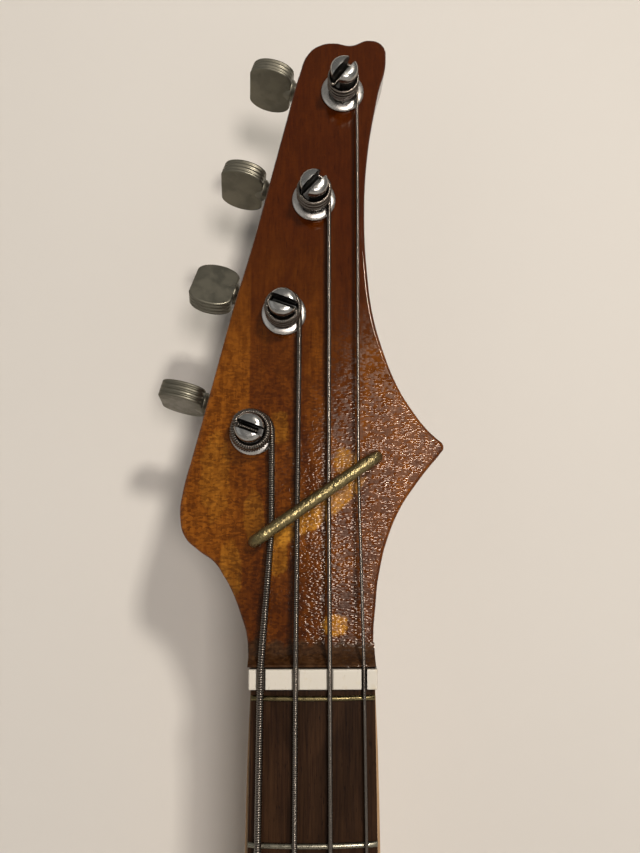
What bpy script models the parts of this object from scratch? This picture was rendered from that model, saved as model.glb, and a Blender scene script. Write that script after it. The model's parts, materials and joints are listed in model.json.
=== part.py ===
"""Four-string electric bass guitar, hung upright, built as the separate pieces that it comes apart into.

Every piece is modelled in the neck's own frame: its origin is the middle of the zero fret on the
fingerboard's surface, +X is the thin-string side, +Y the back and +Z the headstock's tip. One empty
carries that frame, so that the world's origin is the point between the arms that the headstock hangs on.
"""

import math

import bmesh
import bpy
import numpy as np
from mathutils import Matrix, Vector

MM = 0.001

# Clearances
GAP = 0.3 * MM
RUNNING_GAP = 0.25 * MM

# Scale, frets and fingerboard
SCALE_LENGTH = 863.6 * MM
FRET_COUNT = 20
BOARD_RADIUS = 210 * MM
BOARD_THICKNESS = 5.5 * MM
BOARD_OVERHANG = 11 * MM
BOARD_LEAD = 3.0 * MM
NUT_END_WIDTH = 42.0 * MM
NECK_WIDENING = 20.0 * MM
NECK_PROUD = 0.5 * MM
WIDENING_LENGTH = 600 * MM
FRET_HEIGHT = 1.1 * MM
FRET_WIDTH = 2.4 * MM
FRET_CROWN = 1.1 * MM
FRET_ROOT = 0.4 * MM
ZERO_FRET_SLOT_WIDTH = 1.2 * MM
ZERO_FRET_TANG_WIDTH = 0.6 * MM
ZERO_FRET_TANG = 1.6 * MM
BOARD_STEPS = 3

# Nut
NUT_LENGTH = 6.8 * MM
NUT_RISE = 1.9 * MM
NUT_OVERHANG = 0.6 * MM
LEDGE_RISE = 0.2 * MM
LEDGE_LENGTH = 6.0 * MM

# Neck wood
NECK_DEPTH_NUT = 15.5 * MM
NECK_DEPTH_HEEL = 18.0 * MM
HEEL_DEPTH = 20.0 * MM
HEEL_LENGTH = 96 * MM
HEEL_BLEND = 40 * MM
NECK_STEPS = 10
ROUND_POWER = 2.1
SQUARE_POWER = 9.0
HEAD_POWER = 14.0

# Truss rod
ROD_RADIUS = 3.0 * MM
ROD_CHANNEL_DEPTH = 8.0 * MM
ROD_START = 14 * MM
ROD_HEAD_RADIUS = 3.9 * MM
ROD_HEAD_LENGTH = 12 * MM

# Headstock
HEAD_TILT = math.radians(5.86)
HEAD_DROP = 5.13 * MM
HEAD_RISE = 8.0 * MM
HEAD_THICKNESS = 14.5 * MM
HEAD_EDGE = 1.2 * MM
HEAD_BLEND = 24 * MM
HEAD_FLARE_BASS = 5.1 * MM
HEAD_FLARE_TREBLE = 1.2 * MM
HEAD_SINK = 0.05 * MM
HEAD_OUTLINE = [
    (-25.5, 20.0, "VECTOR"), (-29.4, 28.0, "AUTO"), (-34.6, 36.0, "AUTO"),
    (-40.6, 40.4, "AUTO"), (-45.4, 45.0, "AUTO"), (-47.3, 52.3, "AUTO"), (-46.3, 62.2, "AUTO"),
    (-43.6, 73.0, "AUTO"), (-37.6, 97.0, "AUTO"), (-29.8, 128.5, "AUTO"), (-23.6, 151.0, "AUTO"),
    (-10.6, 203.4, "AUTO"), (-5.9, 222.0, "AUTO"), (-2.0, 232.1, "AUTO"), (3.0, 235.7, "AUTO"),
    (8.4, 236.4, "AUTO"), (14.4, 235.5, "AUTO"), (21.8, 237.8, "AUTO"), (27.0, 235.6, "AUTO"),
    (28.2, 229.5, "AUTO"), (24.9, 214.6, "AUTO"), (20.6, 189.0, "AUTO"), (19.2, 163.0, "AUTO"),
    (20.4, 138.0, "AUTO"), (24.8, 115.0, "AUTO"), (32.4, 96.0, "AUTO"), (41.2, 83.9, "AUTO"),
    (46.0, 79.4, "AUTO"), (46.5, 75.6, "AUTO"), (38.6, 66.2, "AUTO"), (31.2, 55.5, "AUTO"),
    (25.8, 42.5, "AUTO"), (22.8, 29.0, "AUTO"), (21.7, 20.0, "VECTOR"),
]
HANG_HEIGHT = 47 * MM

# Tuners, placed in the plane of the headstock's face
POST_FIRST = Vector((-21.9, 82.1)) * MM
POST_STEP = Vector((10.98, 44.26)) * MM
POST_HEIGHT = 16.2 * MM
POST_HEAD_RADIUS = 5.1 * MM
POST_HEAD_LENGTH = 3.4 * MM
POST_WAIST_RADIUS = 4.5 * MM
POST_SHAFT_RADIUS = 4.0 * MM
POST_COLLAR_RADIUS = 5.0 * MM
POST_JOURNAL_RADIUS = 3.0 * MM
SLOT_WIDTH = 3.1 * MM
SLOT_FLOOR = 9.0 * MM
BUSHING_FLANGE_RADIUS = 8.2 * MM
BUSHING_FLANGE = 1.3 * MM
BUSHING_RADIUS = 5.9 * MM
BUSHING_LENGTH = 9.0 * MM
TURNED_SIDES = 14

# Worm and wheel inside each tuner
WHEEL_TEETH = 14
WORM_OFFSET = 8.9 * MM
WORM_PITCH_RADIUS = 3.2 * MM
WHEEL_PITCH_RADIUS = WORM_OFFSET - WORM_PITCH_RADIUS
WORM_LEAD = 2 * math.pi * WHEEL_PITCH_RADIUS / WHEEL_TEETH
TOOTH_ADDENDUM = 0.8 * MM
TOOTH_TIP_SHARE = 0.22
TOOTH_ROOT_SHARE = 0.46
WHEEL_WIDTH = 4.6 * MM
WORM_TURNS = 2.5
WORM_STEPS = 8

# Tuner housing and key
HOUSING_WALL = 2.5 * MM
HOUSING_HALF_LENGTH = 11.0 * MM
HOUSING_CORNER = 3.5 * MM
HOUSING_BOSS_RADIUS = 4.4 * MM
HOUSING_BOSS_END = 17.0 * MM
LUG_RADIUS = 3.4 * MM
LUG_THICKNESS = 2.4 * MM
LUG_HOLE_RADIUS = 1.4 * MM
SHAFT_RADIUS = 2.4 * MM
SHAFT_TIP_RADIUS = 1.6 * MM
KEY_START = 23.0 * MM
KEY_LENGTH = 17.2 * MM
KEY_WIDTH = 20.5 * MM
KEY_END_WIDTH = 11.5 * MM
KEY_THICKNESS = 6.8 * MM
KEY_EDGE = 0.6 * MM
KEY_ARC_STEPS = 5
KEY_GROOVES = 3
KEY_GROOVE_DEPTH = 0.5 * MM
KEY_NECK_RADIUS = 3.3 * MM
KEY_ROLLS = (-80.0, 23.0, -70.0, -71.0)

# String retainer: a bent rod across the headstock
RETAINER_RADIUS = 1.6 * MM
RETAINER_HEIGHT = 6.9 * MM
RETAINER_LOW = Vector((-20.0, 44.1)) * MM
RETAINER_HIGH = Vector((20.7, 71.7)) * MM
RETAINER_ROOT = 8.0 * MM
RETAINER_BEND = 4.0 * MM
RETAINER_SIDES_RESOLUTION = 2

# Strings: name, gauge, place at the nut, place under the retainer, slot angle, turns, slack of first turn
STRINGS = [
    ("e", 2.5, -17.6, -14.5, 160.0, 2, 1.1),
    ("a", 2.0, -5.9, -5.6, 340.0, 2, 0.0),
    ("d", 1.65, 5.6, 5.4, 47.0, 3, 0.0),
    ("g", 1.15, 17.2, 15.8, 230.0, 3, 0.0),
]
TURN_GAP = 0.5 * MM
LOOP_POINTS = 18
STRING_SPACING = 19.0 * MM
ACTION = 2.2 * MM
BALL_SCALE = 2.1
BALL_LENGTH = 5 * MM

# Body
BODY_THICKNESS = 42 * MM
BODY_DROP = 10.0 * MM
BODY_EDGE = 7.0 * MM
BODY_OUTLINE = [
    (35, 353, "VECTOR"), (43, 330, "AUTO"), (66, 314, "AUTO"), (88, 332, "AUTO"), (106, 372, "AUTO"),
    (126, 387, "AUTO"), (144, 356, "AUTO"), (140, 266, "AUTO"), (120, 182, "AUTO"), (129, 105, "AUTO"),
    (158, 42, "AUTO"), (168, -12, "AUTO"), (146, -60, "AUTO"), (90, -86, "AUTO"), (0, -92, "AUTO"),
    (-92, -84, "AUTO"), (-154, -46, "AUTO"), (-174, 20, "AUTO"), (-160, 96, "AUTO"), (-130, 168, "AUTO"),
    (-122, 232, "AUTO"), (-140, 318, "AUTO"), (-150, 390, "AUTO"), (-136, 434, "AUTO"), (-108, 430, "AUTO"),
    (-88, 392, "AUTO"), (-64, 362, "AUTO"), (-35, 355, "VECTOR"),
]
POCKET_FLOOR_WOOD = 26.0 * MM

# Bolt-on neck joint
NECK_SCREW_SPREAD = 38 * MM
NECK_SCREW_PITCH = 52 * MM
NECK_SCREW_INSET = 22 * MM
NECK_SCREW_RADIUS = 2.3 * MM
NECK_SCREW_HEAD_RADIUS = 4.6 * MM
NECK_SCREW_BITE = 12 * MM
NECK_PLATE_THICKNESS = 2.0 * MM
NECK_PLATE_MARGIN = 7.0 * MM

# Pickups
PICKUP_PLACES = (("pickup_neck", 190 * MM), ("pickup_bridge", 92 * MM))
PICKUP_WIDTH = 92 * MM
PICKUP_LENGTH = 33 * MM
PICKUP_HEIGHT = 24 * MM
PICKUP_PROUD = 7.0 * MM
PICKUP_CORNER = 7.0 * MM
POLE_RADIUS = 2.4 * MM
POLE_PROUD = 0.6 * MM
POLE_PAIR = 8.0 * MM
PICKUP_GAP = 0.6 * MM

# Bridge
BRIDGE_WIDTH = 82 * MM
BRIDGE_FRONT = 22 * MM
BRIDGE_BACK = 48 * MM
BRIDGE_PLATE = 2.0 * MM
BRIDGE_LIP = 2.4 * MM
BRIDGE_LIP_HEIGHT = 12.0 * MM
SADDLE_WIDTH = 17.5 * MM
SADDLE_LENGTH = 12 * MM
SADDLE_BLOCK = 8.0 * MM
SADDLE_CREST = 4.0 * MM
SADDLE_GROOVE = 0.5 * MM
SADDLE_RIDGE = 1.2 * MM
GRUB_RADIUS = 1.5 * MM
GRUB_SPREAD = 11 * MM
SADDLE_STEP = 1.2 * MM
SADDLE_SETBACK = 2.0 * MM
SADDLE_SCREW_RADIUS = 1.5 * MM
SADDLE_SCREW_HEAD_RADIUS = 2.8 * MM
SADDLE_SCREW_HEAD = 2.4 * MM
SADDLE_SCREW_REACH = 8 * MM
SADDLE_SCREW_SIDE = 5.0 * MM
STRING_EXIT_RISE = 3.4 * MM

# Controls
KNOB_PLACES = (
    ("neck_volume", (100 * MM, 70 * MM)),
    ("bridge_volume", (121 * MM, 30 * MM)),
    ("tone", (127 * MM, -14 * MM)),
)
KNOB_RADIUS = 9.5 * MM
KNOB_HEIGHT = 15 * MM
KNOB_FLUTES = 10
KNOB_FLUTE_DEPTH = 0.5 * MM
POT_RADIUS = 8.5 * MM
POT_HEIGHT = 9.0 * MM
POT_BUSHING_RADIUS = 4.7 * MM
POT_NUT_RADIUS = 6.8 * MM
POT_NUT_HEIGHT = 2.0 * MM
POT_SHAFT_RADIUS = 3.0 * MM
SKIN = 6.0 * MM
CAVITY_OUTLINE = [
    (80, 72, "AUTO"), (98, 91, "AUTO"), (119, 78, "AUTO"), (138, 38, "AUTO"), (147, -6, "AUTO"),
    (136, -40, "AUTO"), (112, -58, "AUTO"), (92, -44, "AUTO"), (98, -8, "AUTO"), (92, 34, "AUTO"),
]
COVER_THICKNESS = 2.0 * MM
COVER_LEDGE = 5.0 * MM
JACK_PLACE = (112 * MM, -42 * MM)
JACK_FLANGE_RADIUS = 10.5 * MM
JACK_FLANGE = 1.6 * MM
JACK_BARREL_RADIUS = 5.6 * MM
JACK_BARREL_LENGTH = 22 * MM
JACK_BORE_RADIUS = 3.3 * MM

# Strap buttons
STRAP_HORN = (-123 * MM, 438 * MM)
STRAP_TAIL = (0.0, -92 * MM)
STRAP_HEAD_RADIUS = 7.0 * MM
STRAP_NECK_RADIUS = 4.2 * MM
STRAP_HEIGHT = 12 * MM
STRAP_SCREW_RADIUS = 2.0 * MM
STRAP_SCREW_LENGTH = 20 * MM

# Working sizes that cutters and joints share
OVERSHOOT = 4 * MM
SINK = 0.3 * MM
WELD = 1e-6

HEAD_ORIGIN = Vector((0.0, HEAD_DROP, HEAD_RISE))
HEAD_FRAME = Matrix.Translation(HEAD_ORIGIN) @ Matrix.Rotation(math.pi / 2 - HEAD_TILT, 4, "X")
POST_LINE_ANGLE = math.atan2(POST_STEP.y, POST_STEP.x)
KEY_ANGLE = POST_LINE_ANGLE + math.pi / 2
WHEEL_DEPTH = (
    HEAD_THICKNESS + GAP + HOUSING_WALL / 2 + TOOTH_ADDENDUM + WORM_PITCH_RADIUS + GAP
)
HOUSING_FLOOR = WHEEL_DEPTH + WORM_PITCH_RADIUS + TOOTH_ADDENDUM + GAP
HOUSING_BACK = HOUSING_FLOOR + HOUSING_WALL
BODY_TOP = BODY_DROP
BODY_BACK = BODY_DROP + BODY_THICKNESS
BRIDGE_Z = -SCALE_LENGTH
STRING_REST = FRET_HEIGHT + GAP


def fret_z(number):
    """Height of a fret below the zero fret, by equal temperament."""
    return -SCALE_LENGTH * (1 - 2 ** (-number / 12))


BOARD_END = fret_z(FRET_COUNT) - BOARD_OVERHANG
HEEL_TOP = BOARD_END + HEEL_LENGTH


def material(name, colour, roughness, metallic=0.0):
    made = bpy.data.materials.new(name)
    made.use_nodes = True
    shader = made.node_tree.nodes["Principled BSDF"]
    shader.inputs["Base Color"].default_value = (*colour, 1.0)
    shader.inputs["Roughness"].default_value = roughness
    shader.inputs["Metallic"].default_value = metallic
    made.diffuse_color = (*colour, 1.0)
    return made


def mesh_of(bm, name="piece"):
    bmesh.ops.recalc_face_normals(bm, faces=bm.faces)
    mesh = bpy.data.meshes.new(name)
    bm.to_mesh(mesh)
    bm.free()
    return mesh


def helper(mesh):
    made = bpy.data.objects.new("helper", mesh)
    bpy.context.scene.collection.objects.link(made)
    made.hide_render = True
    made.display_type = "WIRE"
    return made


def boolean(base, tools, operation):
    """A new mesh: base with every tool mesh cut away from it or joined to it."""
    holder = helper(base)
    guides = [helper(tool) for tool in tools]
    for guide in guides:
        step = holder.modifiers.new("step", "BOOLEAN")
        step.operation = operation
        step.solver = "EXACT"
        step.object = guide
    bpy.context.view_layer.update()
    graph = bpy.context.evaluated_depsgraph_get()
    made = bpy.data.meshes.new_from_object(holder.evaluated_get(graph))
    for thing in (holder, *guides):
        bpy.data.objects.remove(thing)
    return made


def cut(base, *tools):
    return boolean(base, tools, "DIFFERENCE")


def join(base, *tools):
    return boolean(base, tools, "UNION")


def placed(mesh, matrix):
    moved = mesh.copy()
    moved.transform(matrix)
    return moved


def turned(profile, sides=TURNED_SIDES, hollow=False):
    """Profile of (radius, height) pairs spun round Z. A hollow one is a closed loop off the axis."""
    bm = bmesh.new()
    verts = [bm.verts.new((radius, 0, height)) for radius, height in profile]
    ends = verts[1:] + verts[:1] if hollow else verts[1:]
    edges = [bm.edges.new(pair) for pair in zip(verts, ends)]
    bmesh.ops.spin(
        bm, geom=verts + edges, axis=(0, 0, 1), cent=(0, 0, 0), steps=sides, angle=2 * math.pi
    )
    bmesh.ops.remove_doubles(bm, verts=bm.verts, dist=WELD)
    return mesh_of(bm)


def rod(radius, low, high, sides=TURNED_SIDES):
    return turned([(0, low), (radius, low), (radius, high), (0, high)], sides)


def loft(rings):
    """A closed skin through rings of equally many points, capped at both ends."""
    bm = bmesh.new()
    loops = [[bm.verts.new(point) for point in ring] for ring in rings]
    for low, high in zip(loops, loops[1:]):
        for i in range(len(low)):
            j = (i + 1) % len(low)
            bm.faces.new((low[i], low[j], high[j], high[i]))
    bm.faces.new(reversed(loops[0]))
    bm.faces.new(loops[-1])
    return mesh_of(bm)


def box(low, high, corner=0.0, segments=2):
    """A block between two corners, with its edges along Z rounded."""
    bm = bmesh.new()
    bmesh.ops.create_cube(bm, size=1.0)
    size = [b - a for a, b in zip(low, high)]
    middle = [(a + b) / 2 for a, b in zip(low, high)]
    bmesh.ops.transform(bm, verts=bm.verts, matrix=Matrix.Diagonal((*size, 1.0)))
    bmesh.ops.translate(bm, verts=bm.verts, vec=middle)
    if corner:
        upright = [e for e in bm.edges if abs(e.verts[0].co.z - e.verts[1].co.z) > size[2] / 2]
        bmesh.ops.bevel(
            bm, geom=upright, offset=corner, segments=segments, profile=0.5, affect="EDGES"
        )
    return mesh_of(bm)


def slab(outline, thickness, edge=0.0, grow=0.0, resolution=2, segments=1):
    """An outline of anchors in millimetres, given its thickness about Z = 0 and its rims' bevel."""
    curve = bpy.data.curves.new("outline", "CURVE")
    curve.dimensions = "2D"
    curve.fill_mode = "NONE"
    curve.resolution_u = resolution
    curve.extrude = thickness / 2
    curve.offset = grow
    spline = curve.splines.new("BEZIER")
    spline.bezier_points.add(len(outline) - 1)
    spline.use_cyclic_u = True
    for point, (x, y, kind) in zip(spline.bezier_points, outline):
        point.co = (x * MM, y * MM, 0)
        point.handle_left_type = kind
        point.handle_right_type = kind
    guide = helper(curve)
    bpy.context.view_layer.update()
    graph = bpy.context.evaluated_depsgraph_get()
    made = bpy.data.meshes.new_from_object(guide.evaluated_get(graph))
    bpy.data.objects.remove(guide)
    bm = bmesh.new()
    bm.from_mesh(made)
    bmesh.ops.remove_doubles(bm, verts=bm.verts, dist=WELD)
    rims = [e for e in bm.edges if e.is_boundary]
    bmesh.ops.holes_fill(bm, edges=rims)
    if edge:
        bmesh.ops.bevel(
            bm, geom=rims, offset=edge, segments=segments, profile=0.5, affect="EDGES"
        )
    return mesh_of(bm)


def tube(points, radius, resolution, scales=None):
    """A curve object's data: one unbroken round tube along points, with filled caps."""
    curve = bpy.data.curves.new("tube", "CURVE")
    curve.dimensions = "3D"
    curve.bevel_depth = radius
    curve.bevel_resolution = resolution
    curve.use_fill_caps = True
    spline = curve.splines.new("POLY")
    spline.points.add(len(points) - 1)
    for place, (point, co) in enumerate(zip(spline.points, points)):
        point.co = (*co, 1.0)
        point.radius = scales[place] if scales else 1.0
    return curve


def add(name, data, finish, matrix=None):
    """The named object of one piece, carried by the neck's frame."""
    made = bpy.data.objects.new(name, data)
    bpy.context.scene.collection.objects.link(made)
    made.parent = neck_frame
    made.matrix_local = matrix or Matrix()
    data.materials.clear()
    data.materials.append(finish)
    if made.type == "MESH":
        data.shade_smooth()
        data.set_sharp_from_angle(angle=math.radians(35))
        made.modifiers.new("flat_faces_stay_flat", "WEIGHTED_NORMAL").keep_sharp = True
    return made


def facing(point, direction):
    """The matrix that stands a turned piece at a point, with its Z along a direction."""
    return Matrix.Translation(point) @ Vector(direction).to_track_quat("Z", "X").to_matrix().to_4x4()


def board_half_width(z):
    return (NUT_END_WIDTH + NECK_WIDENING * max(0.0, -z) / WIDENING_LENGTH) / 2


def board_drop(x):
    """How far the curved fingerboard lies behind its own middle line."""
    return BOARD_RADIUS - math.sqrt(BOARD_RADIUS**2 - x**2)


def string_x(index, z):
    """Where a string crosses the neck at a height, between its nut slot and its saddle."""
    at_nut = STRINGS[index][2] * MM
    at_bridge = (index - (len(STRINGS) - 1) / 2) * STRING_SPACING
    return at_nut + (at_bridge - at_nut) * -z / SCALE_LENGTH


def string_y(index, z):
    """Where a string's centre runs in front of the fingerboard at a height."""
    radius = STRINGS[index][1] * MM / 2
    at_nut = board_drop(string_x(index, 0)) - STRING_REST - radius
    at_bridge = board_drop(string_x(index, BRIDGE_Z)) - STRING_REST - 2 * ACTION - radius
    return at_nut + (at_bridge - at_nut) * -z / SCALE_LENGTH


def neck_ring(z, left, right, top, back, power):
    """One section of the neck: flat in front, a superellipse behind."""
    ring = []
    for step in range(NECK_STEPS + 1):
        angle = math.pi * step / NECK_STEPS
        across = math.copysign(abs(math.cos(angle)) ** (2 / power), math.cos(angle))
        deep = abs(math.sin(angle)) ** (2 / power)
        side = right if across > 0 else left
        ring.append((across * side, top + deep * (back - top), z))
    return ring


def heel_outline(gap):
    """The neck heel's plan, grown by a clearance, from its lower end to above the body's edge."""
    low = BOARD_END - gap
    high = HEEL_TOP + HEEL_BLEND
    return (
        (neck_half_width(low) + gap, low),
        (neck_half_width(high) + gap, high),
    )


def neck_shaft():
    """The neck's wood from its squared heel to where it runs into the headstock."""
    rings = []
    for z, depth, power in (
        (BOARD_END, HEEL_DEPTH, SQUARE_POWER),
        (HEEL_TOP, HEEL_DEPTH, SQUARE_POWER),
        (HEEL_TOP + HEEL_BLEND / 2, (HEEL_DEPTH + NECK_DEPTH_HEEL) / 2, 3.2),
        (HEEL_TOP + HEEL_BLEND, NECK_DEPTH_HEEL, ROUND_POWER),
        (fret_z(5), (NECK_DEPTH_HEEL + NECK_DEPTH_NUT) / 2, ROUND_POWER),
        (0.0, NECK_DEPTH_NUT, ROUND_POWER),
    ):
        half = neck_half_width(z)
        rings.append(neck_ring(z, half, half, BOARD_THICKNESS, BOARD_THICKNESS + depth, power))
    steps = 4
    for step in range(1, steps + 1):
        share = step / steps
        z = HEAD_RISE + HEAD_BLEND * share * math.cos(HEAD_TILT)
        face = HEAD_DROP + HEAD_BLEND * share * math.sin(HEAD_TILT)
        back = face + HEAD_THICKNESS / math.cos(HEAD_TILT) - HEAD_SINK
        swell = (NECK_DEPTH_NUT + BOARD_THICKNESS - back) * (1 - share)
        power = ROUND_POWER + (HEAD_POWER - ROUND_POWER) * share
        left = neck_half_width(0) + NECK_PROUD + HEAD_FLARE_BASS * share**2
        right = neck_half_width(0) - SINK + HEAD_FLARE_TREBLE * share**2
        rings.append(neck_ring(z, left, right, face + HEAD_SINK, back + max(0.0, swell), power))
    return loft(rings)


def nut_ledge():
    """The wood's cove behind the nut, from the nut's end down to the headstock's face."""
    low = BOARD_LEAD + NUT_LENGTH + 2 * GAP
    buried = HEAD_DROP + 2 * MM
    fall = HEAD_DROP + LEDGE_RISE
    section = [(buried, low)]
    for share, drop in ((0.0, 0.0), (0.08, 0.0), (0.2, 0.62), (0.45, 0.88), (1.0, 1.0 + SINK / fall)):
        rise = LEDGE_LENGTH * share
        section.append((-LEDGE_RISE + fall * drop + rise * math.sin(HEAD_TILT), low + rise))
    section.append((buried, low + LEDGE_LENGTH))
    left = neck_half_width(0) + NECK_PROUD
    right = neck_half_width(0) - SINK / 3
    return loft([[(x, y, z) for y, z in section] for x in (-left, right)])


def neck_half_width(z):
    """The neck's wood stands a little proud of the fingerboard's edges."""
    return board_half_width(z) + NECK_PROUD


def headstock_slab():
    middle = Matrix.Translation((0, 0, -HEAD_THICKNESS / 2))
    return placed(slab(HEAD_OUTLINE, HEAD_THICKNESS, HEAD_EDGE), HEAD_FRAME @ middle)


def tuner_frame(index):
    """Origin on the headstock's face at a post's axis, X along its key, Z out of the face."""
    place = POST_FIRST + POST_STEP * index
    turn = Matrix.Rotation(KEY_ANGLE, 4, "Z")
    return HEAD_FRAME @ Matrix.Translation((place.x, place.y, 0)) @ turn


def retainer_route():
    """The retainer's centre line: two legs in the wood and a straight run over the strings."""
    run = RETAINER_HIGH - RETAINER_LOW
    along = run.normalized()
    points = []
    for foot, way in ((RETAINER_LOW, along), (RETAINER_HIGH, -along)):
        leg = [Vector((foot.x, foot.y, -RETAINER_ROOT))]
        for step in range(5):
            angle = math.pi / 2 * step / 4
            shift = way * RETAINER_BEND * (1 - math.cos(angle))
            rise = RETAINER_HEIGHT - RETAINER_BEND * (1 - math.sin(angle))
            leg.append(Vector((foot.x + shift.x, foot.y + shift.y, rise)))
        points += leg if foot is RETAINER_LOW else leg[::-1]
    return [HEAD_FRAME @ point for point in points]


def neck_screw_places():
    for side in (-1, 1):
        for row in (0, 1):
            yield side * NECK_SCREW_SPREAD / 2, BOARD_END + NECK_SCREW_INSET + row * NECK_SCREW_PITCH


def make_neck():
    wood = join(neck_shaft(), headstock_slab(), nut_ledge())
    channel = box(
        (-ROD_RADIUS - GAP, BOARD_THICKNESS - OVERSHOOT, BOARD_END + ROD_HEAD_LENGTH),
        (ROD_RADIUS + GAP, BOARD_THICKNESS + ROD_CHANNEL_DEPTH, -ROD_START),
    )
    head_bore = rod(ROD_HEAD_RADIUS + GAP, BOARD_END - OVERSHOOT, BOARD_END + ROD_HEAD_LENGTH + GAP, 12)
    tools = [channel, placed(head_bore, Matrix.Translation((0, truss_rod_y(), 0)))]
    for index in range(len(STRINGS)):
        hole = rod(BUSHING_RADIUS + GAP, -HEAD_THICKNESS - OVERSHOOT, OVERSHOOT)
        tools.append(placed(hole, tuner_frame(index)))
    for foot in (RETAINER_LOW, RETAINER_HIGH):
        hole = rod(RETAINER_RADIUS + GAP, -RETAINER_ROOT - GAP, OVERSHOOT, 8)
        tools.append(placed(hole, HEAD_FRAME @ Matrix.Translation((foot.x, foot.y, 0))))
    for x, z in neck_screw_places():
        deep = HEEL_DEPTH + BOARD_THICKNESS - NECK_SCREW_BITE - GAP
        hole = rod(NECK_SCREW_RADIUS + GAP, 0, NECK_SCREW_BITE + GAP + OVERSHOOT, 10)
        tools.append(placed(hole, facing((x, deep, z), (0, 1, 0))))
    return cut(wood, *tools)


def truss_rod_y():
    return BOARD_THICKNESS + ROD_CHANNEL_DEPTH - GAP - ROD_RADIUS


def make_truss_rod():
    """A steel bar with a socket head that is turned from the heel's end."""
    low = BOARD_END + GAP
    shoulder = BOARD_END + ROD_HEAD_LENGTH - GAP
    socket = 1.6 * MM
    profile = [
        (0, low + 4 * MM), (socket, low + 4 * MM), (socket, low), (ROD_HEAD_RADIUS, low),
        (ROD_HEAD_RADIUS, shoulder), (ROD_RADIUS, shoulder),
        (ROD_RADIUS, -ROD_START - GAP), (0, -ROD_START - GAP),
    ]
    return placed(turned(profile, 12), Matrix.Translation((0, truss_rod_y(), 0)))


def board_ring(z, bottom):
    half = board_half_width(z)
    front = []
    for step in range(BOARD_STEPS + 1):
        x = half * (2 * step / BOARD_STEPS - 1)
        front.append((x, board_drop(x), z))
    return front + [(half, bottom, z), (-half, bottom, z)]


def fret_bar(z, base, foot):
    """A fret's crown over the curved board: base is its depth, foot its width there."""
    half = board_half_width(z)
    rings = []
    for step in range(BOARD_STEPS + 1):
        x = half * (2 * step / BOARD_STEPS - 1)
        surface = board_drop(x)
        rings.append(
            [
                (x, surface + base, z - foot / 2),
                (x, surface - FRET_HEIGHT, z - FRET_CROWN / 2),
                (x, surface - FRET_HEIGHT, z + FRET_CROWN / 2),
                (x, surface + base, z + foot / 2),
            ]
        )
    return rings


def make_fingerboard():
    bottom = BOARD_THICKNESS - GAP
    board = loft([board_ring(z, bottom) for z in (BOARD_END, fret_z(12), BOARD_LEAD)])
    frets = bmesh.new()
    for number in range(1, FRET_COUNT + 1):
        fret = loft(fret_bar(fret_z(number), FRET_ROOT, FRET_WIDTH))
        frets.from_mesh(fret)
    half = NUT_END_WIDTH / 2 + OVERSHOOT
    slot = box(
        (-half, -OVERSHOOT, -ZERO_FRET_SLOT_WIDTH / 2),
        (half, board_drop(NUT_END_WIDTH / 2) + ZERO_FRET_TANG, ZERO_FRET_SLOT_WIDTH / 2),
    )
    return cut(join(board, mesh_of(frets)), slot)


def make_zero_fret():
    """The brass fret that the open strings lie on, with its tang in a sawn slot."""
    crown = loft(fret_bar(0.0, -GAP, FRET_WIDTH))
    half = NUT_END_WIDTH / 2 - SINK
    tang = box(
        (-half, -GAP - FRET_HEIGHT / 3, -ZERO_FRET_TANG_WIDTH / 2),
        (half, ZERO_FRET_TANG + board_drop(half) - GAP, ZERO_FRET_TANG_WIDTH / 2),
    )
    return join(crown, tang)


def make_nut():
    """A bone block behind the zero fret, with a round-bottomed notch for each string."""
    half = NUT_END_WIDTH / 2 + NUT_OVERHANG
    low = BOARD_LEAD + GAP
    high = low + NUT_LENGTH
    front = -NUT_RISE
    bm = bmesh.new()
    bmesh.ops.create_cube(bm, size=1.0)
    size = (2 * half, HEAD_DROP - GAP - front, high - low)
    bmesh.ops.transform(bm, verts=bm.verts, matrix=Matrix.Diagonal((*size, 1.0)))
    bmesh.ops.translate(bm, verts=bm.verts, vec=(0, (HEAD_DROP - GAP + front) / 2, (low + high) / 2))
    crown = [e for e in bm.edges if all(v.co.y < front + WELD for v in e.verts)]
    bmesh.ops.bevel(bm, geom=crown, offset=0.7 * MM, segments=2, profile=0.5, affect="EDGES")
    notches = []
    for index, (_, gauge, *_) in enumerate(STRINGS):
        reach = NUT_RISE + OVERSHOOT
        radius = gauge * MM / 2 + GAP
        notch = join(
            rod(radius, low - OVERSHOOT, high + OVERSHOOT, 8),
            box((-radius, -reach, low - OVERSHOOT), (radius, 0, high + OVERSHOOT)),
        )
        middle = (low + high) / 2
        place = (string_x(index, middle), string_y(index, middle), 0)
        notches.append(placed(notch, Matrix.Translation(place)))
    return cut(mesh_of(bm), *notches)


def make_bushing():
    """The pressed ferrule in the headstock's face that the post turns in."""
    bore = POST_SHAFT_RADIUS + RUNNING_GAP
    seat = GAP
    profile = [
        (bore, -BUSHING_LENGTH), (BUSHING_RADIUS, -BUSHING_LENGTH), (BUSHING_RADIUS, seat),
        (BUSHING_FLANGE_RADIUS, seat), (BUSHING_FLANGE_RADIUS, seat + BUSHING_FLANGE * 0.35),
        (BUSHING_FLANGE_RADIUS - 1.6 * MM, seat + BUSHING_FLANGE), (bore, seat + BUSHING_FLANGE),
    ]
    return turned(profile, hollow=True)


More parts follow.
